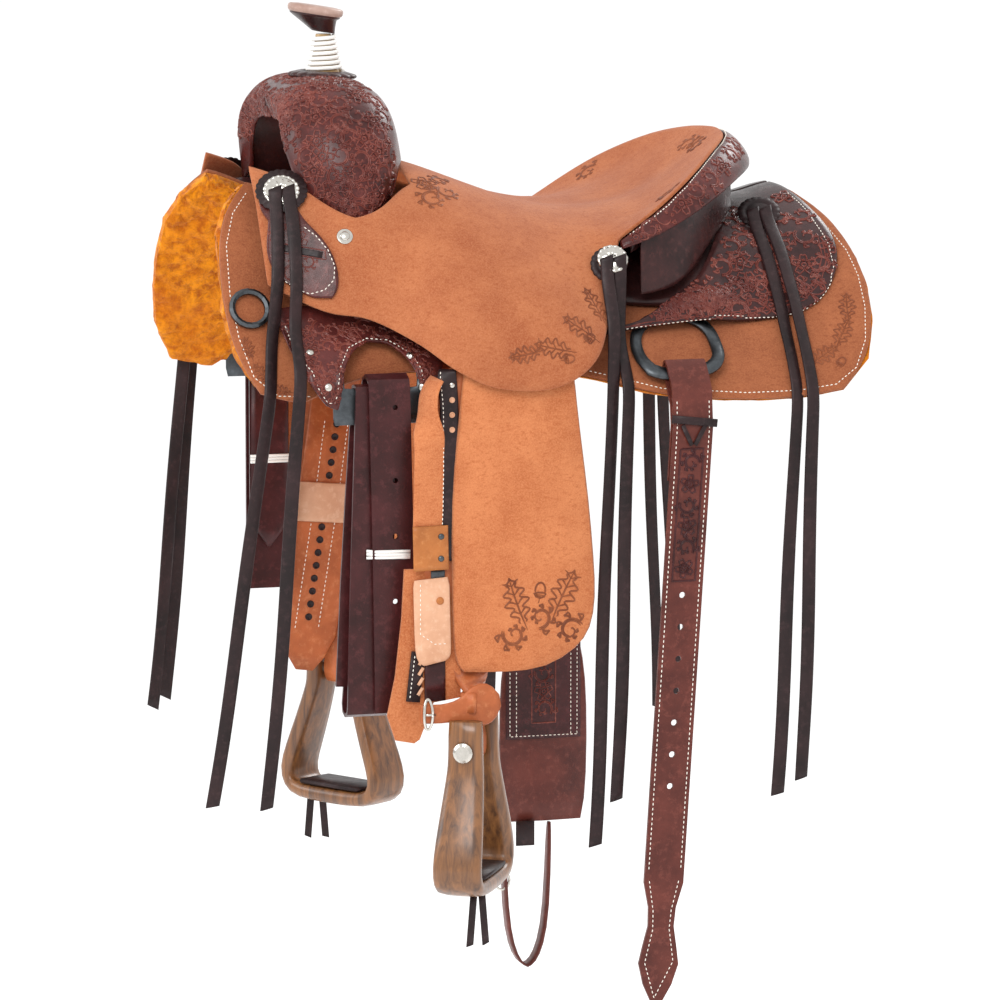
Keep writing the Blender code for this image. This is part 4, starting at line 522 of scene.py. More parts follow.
FRONT_SCALLOPS = 11
REAR_SCALLOPS = 9
PETALS = 9
STRING_HOLES = {}
for side in ("near", "off"):
    for spot in ("front", "mid"):
        node = spot + "_concho_" + side
        centre, way, rim = concho_of(node)
        STRING_HOLES[spot, side] = (centre, way)
        flutes = 20 if spot == "front" else 16
        button = [(lambda a, r=rim: r * (1.0 + 0.018 * math.cos(flutes * a)), -0.0006),
                  (lambda a, r=rim: r * (1.0 + 0.018 * math.cos(flutes * a)), 0.0006),
                  (rim * 0.94, lambda a: 0.0017 + 0.0005 * math.cos(flutes * a)),
                  (rim * 0.85, lambda a: 0.0020 + 0.0004 * math.cos(flutes * a)), (rim * 0.80, 0.0014),
                  (rim * 0.76, 0.0023), (rim * 0.70, 0.0024),
                  (rim * 0.62, lambda a: 0.0029 + 0.0003 * math.cos(PETALS * a)),
                  (rim * 0.48, lambda a: 0.0037 + 0.0006 * math.cos(PETALS * a)),
                  (rim * 0.34, lambda a: 0.0041 + 0.0003 * math.cos(PETALS * a)), (rim * 0.24, 0.0040),
                  (rim * 0.20, 0.0022), (0.0002, 0.0020)]
        piece = round_relief(node + "_engraved", centre, way, button, bright_steel, "saddle",
                             segments=120)
        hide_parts(node)
        if spot == "front":
            rosette = [(0.010, 0.0001),
                       (lambda a: 0.0258 + 0.0012 * abs(math.sin(FRONT_SCALLOPS * a)), 0.0003),
                       (lambda a: 0.0262 + 0.0012 * abs(math.sin(FRONT_SCALLOPS * a)), -0.0004),
                       (lambda a: 0.0256 + 0.0012 * abs(math.sin(FRONT_SCALLOPS * a)), -0.0010),
                       (0.019, -0.0012)]
            round_relief("front_rosette_" + side, centre - way * 0.0001, way, rosette, lace_leather,
                         "saddle", segments=132)
    for spot in ("mid", "rear"):
        node = spot + "_rosette_" + side
        centre, way, rim = concho_of(node)
        if spot == "rear":
            STRING_HOLES[spot, side] = (centre, way)
        rosette = [(0.0005, 0.0012), (rim * 0.55, 0.0014), (rim * 0.62, 0.0007), (rim * 0.68, 0.0016),
                   (lambda a, r=rim: r * (0.93 + 0.045 * abs(math.sin(REAR_SCALLOPS * a))), 0.0013),
                   (lambda a, r=rim: r * (0.95 + 0.05 * abs(math.sin(REAR_SCALLOPS * a))), 0.0002),
                   (lambda a, r=rim: r * (0.93 + 0.05 * abs(math.sin(REAR_SCALLOPS * a))), -0.0012),
                   (rim * 0.5, -0.0012)]
        piece = round_relief(node + "_scalloped", centre, way, rosette, lace_leather, "saddle",
                             segments=108)
        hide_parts(node)

# Saddle strings
# Black-brown latigo laces, each drawn through its rosette so that both its ends hang. They lie over
# the skirt and then hang free, a little curled across and cut at a slant.
LACE_WIDE = 0.014
LACE_THICK = 0.0032
LACE_GAP = 0.0012
UNDER_LACES = ("skirt_", "rear_jockey_", "rigging_cover_", "front_dee_", "rear_dee_", "latigo_keeper_",
               "rear_billet_", "fleece_")
outer_skin = skin_of(*[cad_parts[name + side] for name in UNDER_LACES for side in ("near", "off")],
                     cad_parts["seat_cover"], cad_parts["flank_cinch"])


def ribbon(name, path, faces_out, material, body, width, thick, curl=0.0, slant=0.0):
    """A flat strap along a path, rounded at its edges, its grain side to the given ways."""
    section = [(-0.5, 0.0), (-0.47, 0.34), (-0.36, 0.5), (0.0, 0.5), (0.36, 0.5), (0.47, 0.34), (0.5, 0.0),
               (0.47, -0.34), (0.36, -0.5), (0.0, -0.5), (-0.36, -0.5), (-0.47, -0.34)]
    points = []
    count = len(path)
    for i, spot in enumerate(path):
        ahead = (path[min(i + 1, count - 1)] - path[max(i - 1, 0)]).normalized()
        out = faces_out[i] - ahead * faces_out[i].dot(ahead)
        out.normalize()
        across = ahead.cross(out)
        wide = width[i] if isinstance(width, (list, tuple)) else width
        for a, b in section:
            bow = curl * thick * (1.0 - (2.0 * a) ** 2)
            cut = a * wide * (slant if i in (0, count - 1) else 0.0)
            points.append(spot + across * (a * wide) + out * (b * thick + bow) + ahead * cut)
    size = len(section)
    faces = [[i * size + k, i * size + (k + 1) % size, (i + 1) * size + (k + 1) % size, (i + 1) * size + k]
             for i in range(count - 1) for k in range(size)]
    faces.append(list(range(size))[::-1])
    faces.append([(count - 1) * size + k for k in range(size)])
    return solid(name, points, faces, material, body)


def clear_out(x, z, side):
    """How far out a lace lies at x and z so that it rests on the leather."""
    out = 0.0
    for reach in (-0.008, -0.004, 0.0, 0.004, 0.008):
        hit = outer_skin.ray_cast(Vector((x + reach, side * 0.5, z)), Vector((0.0, -side, 0.0)))[0]
        if hit is not None and hit.y * side > 0:
            out = max(out, hit.y * side + LACE_THICK / 2 + LACE_GAP)
    return out


# Where each tip hangs, as x and z, and 1 for the lace that lies over its fellow.
STRING_TIPS = {
    ("front", "near"): ((-0.372, -0.526, 0), (-0.3195, -0.526, 1)),
    ("front", "off"): ((-0.336, -0.491, 0), (-0.314, -0.485, 1)),
    ("mid", "near"): ((0.030, -0.581, 0), (0.052, -0.532, 1)),
    ("mid", "off"): ((0.044, -0.565, 0), (0.064, -0.532, 1)),
    ("rear", "near"): ((0.223, -0.532, 0), (0.250, -0.516, 1)),
    ("rear", "off"): ((0.266, -0.530, 0), (0.290, -0.520, 1)),
}
STRING_STEPS = 60
for (spot, side_name), ends in STRING_TIPS.items():
    side = -1.0 if side_name == "near" else 1.0
    centre, way = STRING_HOLES[spot, side_name]
    for tip_x, tip_z, over in ends:
        shift = 0.00702 * (1 if over else -1)
        begin = centre + way * (0.0045 + 0.0012 * over) + Vector((shift, 0.0, 0.0))
        path = [begin + way * 0.0006, begin + way * 0.0030 + Vector((0.0, 0.0, -0.004))]
        start = begin + way * 0.0034 + Vector((0.0, 0.0, -0.012))
        out = start.y * side
        for k in range(STRING_STEPS + 1):
            t = k / STRING_STEPS
            z = start.z + (tip_z - start.z) * t
            x = start.x + (tip_x - start.x) * (t ** 1.15) + 0.002 * math.sin(9.0 * t + over) * t
            out = max(out, clear_out(x, z, side) + 0.0042 * over * (1.0 - t) + 0.0006)
            path.append(Vector((x, side * out, z)))
        for smoothing in range(3):
            inner = [(path[i - 1] + path[i] * 2.0 + path[i + 1]) / 4.0 for i in range(1, len(path) - 1)]
            path = [path[0]] + inner + [path[-1]]
        looks = [way.lerp(Vector((0.25 * math.sin(0.09 * i + over), side, 0.0)), min(i / 14.0, 1.0))
                 for i in range(len(path))]
        name = "string_%s_%s_%s" % (spot, side_name, "upper" if over else "lower")
        lace = ribbon(name, path, looks, lace_leather, "saddle", width=LACE_WIDE,
                      thick=LACE_THICK, curl=0.22, slant=0.35)
        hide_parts("string_%s_%s" % (spot, side_name))

# Horn wrap
# Soft white cotton cord wound tight round the horn's neck, so that a rope grips there. It is laid
# from twisted strands. The same cord ties the latigo and the off billet.

# A wave has 20 / (2 pi) bands to each unit of its scale, so these strands lie 1.2 mm apart.
STRAND_SCALE = 260.0
# Cotton is matt and a little fuzzy, with fine wavering shadows between its strands.
cotton, shader = bare_material("white_cotton_cord")
shader.inputs["Roughness"].default_value = 0.9
shader.inputs["Sheen Weight"].default_value = 0.2
shader.inputs["Base Color"].default_value = linear("f6f3ee")
place = add_node(cotton, "ShaderNodeTexCoord")
twist = add_node(cotton, "ShaderNodeTexWave",
                 {"Scale": STRAND_SCALE, "Distortion": 2.0, "Detail": 2.0},
                 Vector=place.outputs["Object"])
strands = add_node(cotton, "ShaderNodeBump", {"Strength": 0.5, "Distance": 0.0006},
                   Height=twist.outputs["Fac"])
cotton.node_tree.links.new(strands.outputs["Normal"], shader.inputs["Normal"])
finer("horn_wrap", "horn_wrap_cotton", "saddle", cotton, levels=1)

# Stirrup wood
# Each stirrup is a bow of bent hardwood strips, glued, sanded round and lacquered, with its grain
# along the strips and darker pores. A bolt through its head carries it.
GRAIN_PER_METRE = (120.0, 120.0, 9.0)
# Lacquer gives a clear highlight over long brown grain.
wood, shader = bare_material("lacquered_hardwood")
shader.inputs["Roughness"].default_value = 0.36
shader.inputs["Coat Weight"].default_value = 0.35
shader.inputs["Coat Roughness"].default_value = 0.2
place = add_node(wood, "ShaderNodeTexCoord")
stretch = add_node(wood, "ShaderNodeMapping", {"Scale": GRAIN_PER_METRE},
                   Vector=place.outputs["Object"])
grain = add_node(wood, "ShaderNodeTexNoise",
                 {"Scale": 1.0, "Detail": 7.0, "Roughness": 0.65, "Distortion": 0.6},
                 Vector=stretch.outputs["Vector"])
rings = add_node(wood, "ShaderNodeValToRGB", Fac=grain.outputs["Fac"])
rings.color_ramp.elements[0].position = 0.35
rings.color_ramp.elements[0].color = linear("4c2f1b")
rings.color_ramp.elements[1].position = 0.62
rings.color_ramp.elements[1].color = linear("86572f")
wood.node_tree.links.new(rings.outputs["Color"], shader.inputs["Base Color"])
pores = add_node(wood, "ShaderNodeBump", {"Strength": 0.25, "Distance": 0.0003},
                 Height=grain.outputs["Fac"])
wood.node_tree.links.new(pores.outputs["Normal"], shader.inputs["Normal"])
for side in ("near", "off"):
    finer("stirrup_" + side, "stirrup_bow_" + side, "stirrup_" + side, wood, levels=1,
          crisp=60)

# Tooling
# Floral and oak-leaf figures cut and bevelled into damp leather, then beaten down round them, so
# that each line stands as a rounded ridge that catches the light. On roughout it is burnished dark.

SIDES = (("near", -1.0), ("off", 1.0))


def skin(name):
    """The finished outer surface of one piece of the scene, by the piece's name."""
    return skin_of(bpy.data.objects[name])


def lay(tree, spot, side):
    """The point and outward normal of a surface at (x, z), or nearest to a near side's (x, y, z)."""
    if len(spot) == 2:
        hit, normal = tree.ray_cast(Vector((spot[0], side * 0.6, spot[1])), Vector((0.0, -side, 0.0)))[:2]
        if hit is None:
            hit, normal = tree.find_nearest(Vector((spot[0], side * 0.26, spot[1])))[:2]
    else:
        hit, normal = tree.find_nearest(Vector((spot[0], spot[1] * -side, spot[2])))[:2]
    return hit, normal


def flower(turn):
    """A five-petalled flower of unit radius."""
    strokes = [[(0.17 * math.cos(a), 0.17 * math.sin(a)) for a in [math.pi * k / 5 for k in range(11)]]]
    for petal in range(5):
        middle = turn + petal * 2 * math.pi / 5
        rim = []
        for k in range(15):
            t = k / 14
            reach = 0.28 + 0.66 * math.sin(math.pi * t) ** 0.55 + 0.06 * math.cos(6 * math.pi * t)
            angle = middle + (t - 0.5) * 1.16
            rim.append((reach * math.cos(angle), reach * math.sin(angle)))
        strokes.append(rim)
        for lean in (-0.22, 0.0, 0.22):
            strokes.append([(r * math.cos(middle + lean), r * math.sin(middle + lean))
                            for r in (0.3, 0.42, 0.55)])
    return strokes


def scroll(turn):
    """A curling stem with leaves on its outer side, of unit radius."""
    stem = []
    for k in range(26):
        t = k / 25
        angle = turn + 4.6 * math.pi / 2 * t
        reach = 1.0 - 0.86 * t
        stem.append((reach * math.cos(angle), reach * math.sin(angle)))
    strokes = [stem, [(x * 0.84, y * 0.84) for x, y in stem[:15]]]
    for k in range(1, 20, 3):
        x, y = stem[k]
        base = math.atan2(y, x)
        size = 0.66 * (1 - k / 34)
        leaf = []
        for step in range(9):
            t = step / 8
            bend = base + 0.55 + 0.85 * math.sin(math.pi * t) * (1 if step < 5 else 0.2) - 0.5 * t
            far = size * math.sin(math.pi * t * 0.999)
            leaf.append((x + far * math.cos(bend), y + far * math.sin(bend)))
        strokes.append(leaf)
        strokes.append([(x + size * t * math.cos(base + 0.75), y + size * t * math.sin(base + 0.75))
                        for t in (0.1, 0.4, 0.7)])
    return strokes


def oak_leaf(turn):
    """A lobed leaf with its ribs, two units long."""
    left = []
    right = []
    for k in range(37):
        t = k / 36
        half = 0.12 + 0.40 * math.sin(math.pi * min(t * 1.08, 1.0)) ** 0.8
        half *= 0.72 + 0.34 * math.cos(9.0 * math.pi * t)
        half *= min(1.0, (1.0 - t) * 7.0)
        left.append((2.0 * t - 1.0, half))
        right.append((2.0 * t - 1.0, -half))
    strokes = [left, right, [(-1.35, -0.06), (-0.6, 0.0), (0.2, 0.02), (0.9, 0.0)]]
    for k in (-0.62, -0.2, 0.22, 0.6):
        strokes.append([(k, 0.0), (k + 0.16, 0.2), (k + 0.22, 0.36)])
        strokes.append([(k, 0.0), (k + 0.16, -0.2), (k + 0.22, -0.36)])
    c = math.cos(turn)
    s = math.sin(turn)
    return [[(x * c - y * s, x * s + y * c) for x, y in stroke] for stroke in strokes]


def acorn(turn):
    """An acorn in its cup."""
    c = math.cos(turn)
    s = math.sin(turn)
    nut = [(0.75 * math.cos(a) + 0.1, 0.5 * math.sin(a))
           for a in [math.pi * (k / 8 - 0.62) for k in range(11)]]
    cup = [(-0.2, -0.6), (-0.5, -0.4), (-0.62, 0.0), (-0.5, 0.4), (-0.2, 0.6), (-0.1, 0.2), (-0.1, -0.2),
           (-0.2, -0.6)]
    strokes = [nut, cup, [(-0.62, 0.0), (-1.1, 0.1)], [(-0.4, -0.4), (-0.25, 0.5)],
               [(-0.5, -0.1), (-0.35, 0.45)]]
    return [[(x * c - y * s, x * s + y * c) for x, y in stroke] for stroke in strokes]


FIGURES = {"flower": flower, "scroll": scroll, "oak": oak_leaf, "acorn": acorn}


def ridges(name, strokes, material, body, width, height):
    """Rounded ridges along strokes of (point, normal) pairs."""
    points = []
    faces = []
    for stroke in strokes:
        count = len(stroke)
        if count < 2:
            continue
        start = len(points)
        for i, (spot, normal) in enumerate(stroke):
            ahead = stroke[min(i + 1, count - 1)][0] - stroke[max(i - 1, 0)][0]
            across = ahead.cross(normal)
            if across.length < 1e-9:
                across = Vector((1e-4, 0.0, 0.0))
            across = across.normalized() * (width / 2) * (0.35 if i in (0, count - 1) else 1.0)
            points += [spot - across - normal * 0.0002, spot - across * 0.45 + normal * height * 0.8,
                       spot + across * 0.45 + normal * height, spot + across - normal * 0.0002]
        for i in range(count - 1):
            a = start + i * 4
            faces += [[a + k, a + k + 1, a + k + 5, a + k + 4] for k in range(3)]
    return solid(name, points, faces, material, body)


def tooled(name, tree, figures, side, material, body, width, height):
    """Figures (spot, radius, turn, kind) pressed into a surface."""
    strokes = []
    for spot, radius, turn, kind in figures:
        middle, way = lay(tree, spot, side)
        along = Vector((1.0, 0.0, 0.0)) - way * way.x
        along.normalize()
        up = way.cross(along)
        if up.z < 0:
            up.negate()
        for stroke in FIGURES[kind](turn):
            laid = []
            for u, v in stroke:
                start = middle + along * (u * radius) + up * (v * radius) + way * 0.012
                hit, normal = tree.ray_cast(start, -way, 0.04)[:2]
                if hit is not None and normal.dot(way) > 0.2:
                    laid.append((hit, normal))
            if len(laid) == len(stroke):
                strokes.append(laid)
    return ridges(name, strokes, material, body, width=width, height=height)


def traced(tree, line, side, step=0.003):
    """A line of (x, z) or (x, y, z) knots laid on a surface at even steps."""
    knots = [lay(tree, spot, side) for spot in line]
    laid = []
    for (a, n), (b, m) in zip(knots, knots[1:]):
        count = max(int((b - a).length / step), 1)
        for k in range(count):
            spot = a.lerp(b, k / count)
            way = n.lerp(m, k / count).normalized()
            hit, normal = tree.ray_cast(spot + way * 0.012, -way, 0.03)[:2]
            laid.append((hit, normal) if hit is not None and normal.dot(way) > 0.2 else (spot, way))
    laid.append(knots[-1])
    return laid


# The raised lines on dark leather are a lighter, redder copy of it: a painted highlight on the ridges.
# A hot iron darkens those on the roughout.
tooling_with_painted_highlight = grain_leather("raised_tooling_with_painted_highlight", "7a3c32", "511f1a", "a86a5c", 0.22)
burnished_leather = grain_leather("burnished_tooling_on_roughout", "8a4c2c", "6b351d", "a4633c", 0.55)
TOP_SPOTS = [(x, -0.012 - 0.022 * k, 0.215) for x in (-0.232, -0.212, -0.192, -0.174) for k in range(4)]
TOP_SPOTS += [(-0.275, -0.014 - 0.020 * k, z) for z in (0.150, 0.170, 0.190, 0.205) for k in range(5)]
ROLL_SPOTS = ((0.0900, -0.1960, 0.0530), (0.1069, -0.1945, 0.0605), (0.1240, -0.1903, 0.0708),
              (0.1440, -0.1830, 0.0850), (0.1650, -0.1710, 0.0990), (0.1860, -0.1530, 0.1100),
              (0.2060, -0.1300, 0.1180), (0.2240, -0.1030, 0.1250), (0.2400, -0.0720, 0.1300),
              (0.2500, -0.0400, 0.1330), (0.2540, -0.0100, 0.1340))


def strewn(low, high, pitch):
    """Staggered (x, z) places over a panel, each a little off its row."""
    spots = []
    for row in range(int((high[1] - low[1]) / pitch) + 1):
        for column in range(int((high[0] - low[0]) / pitch) + 1):
            aside = pitch * 0.18 * math.sin(5.1 * column + 2.3 * row)
            above = pitch * 0.18 * math.sin(3.7 * column + 1.9 * row)
            spots.append((low[0] + pitch * (column + 0.5 * (row % 2)) + aside,
                          low[1] + pitch * row + above))
    return spots


def garland(spots, radius, turn, first=0):
    """The carver's scrolls and flowers in turn over some places, each turned a little further."""
    kinds = ("scroll", "flower", "scroll")
    return [(spot, radius, turn * k, kinds[(k + first) % 3]) for k, spot in enumerate(spots)]


# Each figure below is its place as (x, z), or as a near side's (x, y, z), its radius, turn and kind.
KEEPER_FIGURES = (((-0.284, 0.0600), 0.0100, 0.4, "scroll"), ((-0.266, 0.0560), 0.0110, 2.0, "flower"),
                  ((-0.276, 0.0220), 0.0110, 1.0, "scroll"), ((-0.258, 0.0350), 0.0090, 3.0, "scroll"))
SEAT_LEAVES = (((0.0330, -0.0120), 0.0200, 2.0, "oak"), ((0.0080, -0.0330), 0.0210, 2.6, "oak"),
               ((-0.0250, -0.0520), 0.0200, 2.9, "oak"), ((-0.0560, -0.0580), 0.0170, 3.3, "oak"),
               ((0.0190, -0.0450), 0.0090, 0.6, "acorn"), ((-0.0080, -0.0640), 0.0080, 0.2, "acorn"))
FRONT_PATCH = (((-0.1180, -0.1200, 0.1080), 0.0150, 0.3, "flower"),
               ((-0.1160, -0.1480, 0.0940), 0.0150, 1.2, "scroll"),
               ((-0.0960, -0.1320, 0.0980), 0.0130, 2.2, "scroll"),
               ((-0.0980, -0.1050, 0.1070), 0.0120, 0.2, "scroll"))
RIM_FLOWERS = (((0.1420, -0.1400, 0.0900), 0.0130, 0.1, "scroll"),
               ((0.1600, -0.1290, 0.1010), 0.0140, 0.6, "flower"),
               ((0.1760, -0.1130, 0.1110), 0.0140, 1.4, "scroll"),
               ((0.1900, -0.0950, 0.1180), 0.0140, 2.3, "flower"),
               ((0.2020, -0.0700, 0.1240), 0.0140, 2.9, "scroll"),
               ((0.2100, -0.0430, 0.1270), 0.0140, 3.6, "flower"),
               ((0.2140, -0.0140, 0.1285), 0.0140, 4.4, "scroll"))
FENDER_LEAVES = (((-0.0620, -0.3140), 0.0250, 1.9, "oak"), ((-0.0100, -0.3080), 0.0260, 1.1, "oak"),
                 ((-0.0360, -0.3060), 0.0110, 1.5, "acorn"), ((-0.0640, -0.3500), 0.0140, 2.8, "scroll"),
                 ((-0.0030, -0.3480), 0.0140, 0.4, "scroll"), ((-0.0360, -0.3330), 0.0130, 4.6, "scroll"))
SKIRT_LEAVES = (((0.3190, -0.0250), 0.0170, 1.4, "oak"), ((0.3080, -0.0500), 0.0180, 1.0, "oak"),
                ((0.2830, -0.0720), 0.0180, 0.5, "oak"), ((0.2980, -0.0800), 0.0080, 0.8, "acorn"),
                ((-0.3240, -0.0520), 0.0120, 1.8, "oak"), ((-0.3130, -0.0780), 0.0130, 2.2, "oak"),
                ((-0.2960, -0.0950), 0.0110, 2.8, "oak"))
SWELL_SPOTS = TOP_SPOTS + strewn((-0.258, 0.084), (-0.158, 0.206), 0.0185)
JOCKEY_SPOTS = strewn((0.092, -0.026), (0.318, 0.092), 0.0215)
COVER_SPOTS = strewn((-0.282, -0.100), (-0.140, -0.030), 0.0160)
swell_skin = skin("swell_cover_leather")
roll_skin = skin("cantle_roll_leather")
seat_skin = skin_of(seat)
for side_name, side in SIDES:
    tooled("swell_tooling_" + side_name, swell_skin, garland(SWELL_SPOTS, 0.0128, 1.3), side,
           tooling_with_painted_highlight, "saddle", width=0.0019, height=0.0012)
    tooled("cantle_roll_tooling_" + side_name, roll_skin, garland(ROLL_SPOTS, 0.0135, 0.9, first=1), side,
           tooling_with_painted_highlight, "saddle", width=0.0018, height=0.0011)
    jockey_skin = skin("rear_jockey_leather_" + side_name)
    tooled("rear_jockey_tooling_" + side_name, jockey_skin, garland(JOCKEY_SPOTS, 0.0145, 1.1), side,
           tooling_with_painted_highlight, "saddle", width=0.0020, height=0.0012)
    cover_skin = skin("rigging_cover_leather_" + side_name)
    tooled("rigging_cover_tooling_" + side_name, cover_skin, garland(COVER_SPOTS, 0.0105, 1.7), side,
           tooling_with_painted_highlight, "saddle", width=0.0016, height=0.0010)
    keeper_skin = skin("latigo_keeper_leather_" + side_name)
    tooled("keeper_tooling_" + side_name, keeper_skin, KEEPER_FIGURES, side,
           tooling_with_painted_highlight, "saddle", width=0.0012, height=0.0006)
    tooled("seat_oak_leaves_" + side_name, seat_skin, SEAT_LEAVES, side,
           burnished_leather, "saddle", width=0.0021, height=0.0008)
    tooled("seat_front_patch_" + side_name, seat_skin, FRONT_PATCH, side,
           burnished_leather, "saddle", width=0.0020, height=0.0008)
    tooled("seat_rim_flowers_" + side_name, seat_skin, RIM_FLOWERS, side,
           burnished_leather, "saddle", width=0.0020, height=0.0008)
    fender_skin = skin("fender_leather_" + side_name)
    tooled("fender_oak_leaves_" + side_name, fender_skin, FENDER_LEAVES, side,
           burnished_leather, "fender_" + side_name, width=0.0023, height=0.0008)
    skirt_skin = skin("skirt_leather_" + side_name)
    tooled("skirt_oak_leaves_" + side_name, skirt_skin, SKIRT_LEAVES, side,
           burnished_leather, "saddle", width=0.0020, height=0.0008)

# Stitching
# Waxed white thread, five stitches to the inch, in a groove a few millimetres in from each edge.
# Each stitch is a short loop that sinks in at both ends.

# Wax leaves the thread cream-white with a dull shine.
thread, shader = bare_material("waxed_white_thread")
shader.inputs["Base Color"].default_value = linear("f1e9dc")
shader.inputs["Roughness"].default_value = 0.55


def stitched(name, tree, line, side, body, pitch=0.0050, length=0.0034, thick=0.0010):
    """A row of stitches along a line laid on a surface."""
    laid = traced(tree, line, side, 0.0016)
    points = []
    faces = []
    travelled = 0.0
    wanted = pitch / 2
    for (a, n), (b, m) in zip(laid, laid[1:]):
        gap = (b - a).length
        while gap > 1e-7 and wanted <= travelled + gap:
            spot = a.lerp(b, (wanted - travelled) / gap)
            ahead = (b - a).normalized()
            across = ahead.cross(n).normalized()
            s = len(points)
            points += [spot - ahead * length / 2, spot + ahead * length / 2]
            for u, v in ((1.0, 0.15), (0.6, 0.8), (-0.6, 0.8), (-1.0, 0.15)):
                for w in (-0.22, 0.22):
                    points.append(spot + across * (u * thick / 2) + n * (v * thick) + ahead * (w * length))
            for k in range(3):
                q = s + 2 + 2 * k
                faces += [[q, q + 1, q + 3, q + 2], [s, q, q + 2], [s + 1, q + 3, q + 1]]
            wanted += pitch
        travelled += gap
    return solid(name, points, faces, thread, body)


JOCKEY_LINE = ((0.0560, -0.0495), (0.1000, -0.0465), (0.1700, -0.0415), (0.2390, -0.0350),
               (0.2790, -0.0260), (0.3030, -0.0080), (0.3160, 0.0130), (0.3190, 0.0340), (0.3150, 0.0520),
               (0.3120, 0.0680), (0.3060, 0.0810))
SKIRT_LINE = ((0.3200, 0.0640), (0.3280, 0.0500), (0.3370, 0.0280), (0.3395, 0.0040), (0.3370, -0.0260),
              (0.3290, -0.0580), (0.3130, -0.0850), (0.2880, -0.1010), (0.2480, -0.1060), (0.1900, -0.1070),
              (0.1000, -0.1005), (0.0300, -0.0830), (0.0000, -0.0760))
SKIRT_FRONT_LINE = ((-0.3020, 0.1000), (-0.3210, 0.0800), (-0.3330, 0.0490), (-0.3360, 0.0000),
                    (-0.3320, -0.0430), (-0.3210, -0.0820), (-0.2980, -0.1010), (-0.2650, -0.1020))
COVER_LINE = ((-0.2850, -0.0300), (-0.2790, -0.0600), (-0.2640, -0.0900), (-0.2540, -0.1060),
              (-0.2470, -0.1060), (-0.2440, -0.0980), (-0.2400, -0.0740), (-0.2240, -0.0530),
              (-0.2020, -0.0450), (-0.1800, -0.0470), (-0.1610, -0.0590), (-0.1530, -0.0790),
              (-0.1480, -0.1030))
KEEPER_LINE = ((-0.2900, 0.0700), (-0.2870, 0.0600), (-0.2910, 0.0460), (-0.2920, 0.0300),
               (-0.2850, 0.0160), (-0.2700, 0.0060), (-0.2600, 0.0020), (-0.2450, 0.0060),
               (-0.2350, 0.0160), (-0.2330, 0.0300), (-0.2380, 0.0460), (-0.2480, 0.0600),
               (-0.2600, 0.0700))
for side_name, side in SIDES:
    jockey_skin = skin("rear_jockey_leather_" + side_name)
    stitched("rear_jockey_stitching_" + side_name, jockey_skin, JOCKEY_LINE, side, "saddle")
    ridges("rear_jockey_border_" + side_name,
           [traced(jockey_skin, [(x * 0.985, z + 0.007) for x, z in JOCKEY_LINE[:8]], side),
            traced(jockey_skin, [(x * 0.975, z + 0.010) for x, z in JOCKEY_LINE[:8]], side)],
           tooling_with_painted_highlight, "saddle", width=0.0016, height=0.0006)
    skirt_skin = skin("skirt_leather_" + side_name)
    stitched("skirt_stitching_" + side_name, skirt_skin, SKIRT_LINE, side, "saddle")
    stitched("skirt_front_stitching_" + side_name, skirt_skin, SKIRT_FRONT_LINE, side, "saddle")
    cover_skin = skin("rigging_cover_leather_" + side_name)
    stitched("rigging_stitching_" + side_name, cover_skin, COVER_LINE, side, "saddle")
    keeper_skin = skin("latigo_keeper_leather_" + side_name)
    stitched("keeper_stitching_" + side_name, keeper_skin, KEEPER_LINE, side, "saddle")
ROLL_EDGE_LINE = [(0.0830, -0.1905, 0.0560), (0.1060, -0.1890, 0.0690), (0.1300, -0.1820, 0.0850),
                  (0.1560, -0.1660, 0.1030), (0.1790, -0.1430, 0.1170), (0.2010, -0.1160, 0.1300),
                  (0.2220, -0.0850, 0.1390), (0.2370, -0.0520, 0.1440), (0.2460, -0.0180, 0.1470),
                  (0.2470, 0.0000, 0.1475)]
for side_name, side in SIDES:
    stitched("cantle_stitching_" + side_name, roll_skin, ROLL_EDGE_LINE, side, "saddle",
             pitch=0.0042, length=0.003)
billet_skin = skin("rear_billet_strap_near")


def lean(z):
    """Where the middle of the near rear billet is at z."""
    return 0.126 - 0.042 * max(-0.090 - z, 0.0) / 0.66


for name, reach in (("front", -0.0175), ("rear", 0.0175)):
    stitched("billet_stitching_" + name, billet_skin,
             [(lean(z) + reach, z) for z in (-0.110, -0.200, -0.300, -0.400, -0.500, -0.600)], -1.0,
             "rear_billet_near", pitch=0.0052, length=0.0034)
# The stitches round the billet's point: the height whose middle is taken, how far aside, the height.
BILLET_POINT = ((-0.610, -0.0165, -0.612), (-0.645, -0.0100, -0.645), (-0.665, -0.0090, -0.665),
                (-0.700, -0.0155, -0.700), (-0.735, -0.0030, -0.738), (-0.700, 0.0155, -0.700),
                (-0.665, 0.0090, -0.665), (-0.645, 0.0100, -0.645), (-0.610, 0.0165, -0.612))
stitched("billet_point_stitching", billet_skin, [(lean(at) + x, z) for at, x, z in BILLET_POINT], -1.0,
         "rear_billet_near", pitch=0.0052, length=0.0034)
BILLET_FIGURES = [((lean(z), z), 0.0105, 1.4 * k, ("scroll", "flower")[k % 2])
                  for k, z in enumerate((-0.175, -0.197, -0.219, -0.241, -0.263, -0.285))]
tooled("billet_panel_tooling", billet_skin, BILLET_FIGURES, -1.0, burgundy_leather, "rear_billet_near",
       width=0.0020, height=0.0012)
BILLET_PANEL = [(-0.0125, -0.160), (0.0125, -0.160), (0.0125, -0.298), (-0.0125, -0.298), (-0.0125, -0.160)]
ridges("billet_panel_border", [traced(billet_skin, [(lean(z) + x, z) for x, z in BILLET_PANEL], -1.0)],
       burgundy_leather, "rear_billet_near", width=0.0022, height=0.0013)

# Stirrup leather fittings
# In front of each fender hangs the stirrup leather's free edge: a roughout strip, a dark stitched
# strap with holes, the tan cover of its slide buckle, a pale sleeve and the laced foot of the strap.
# The off leather's inner face is seen from the near side, under the saddle, with its column of holes.

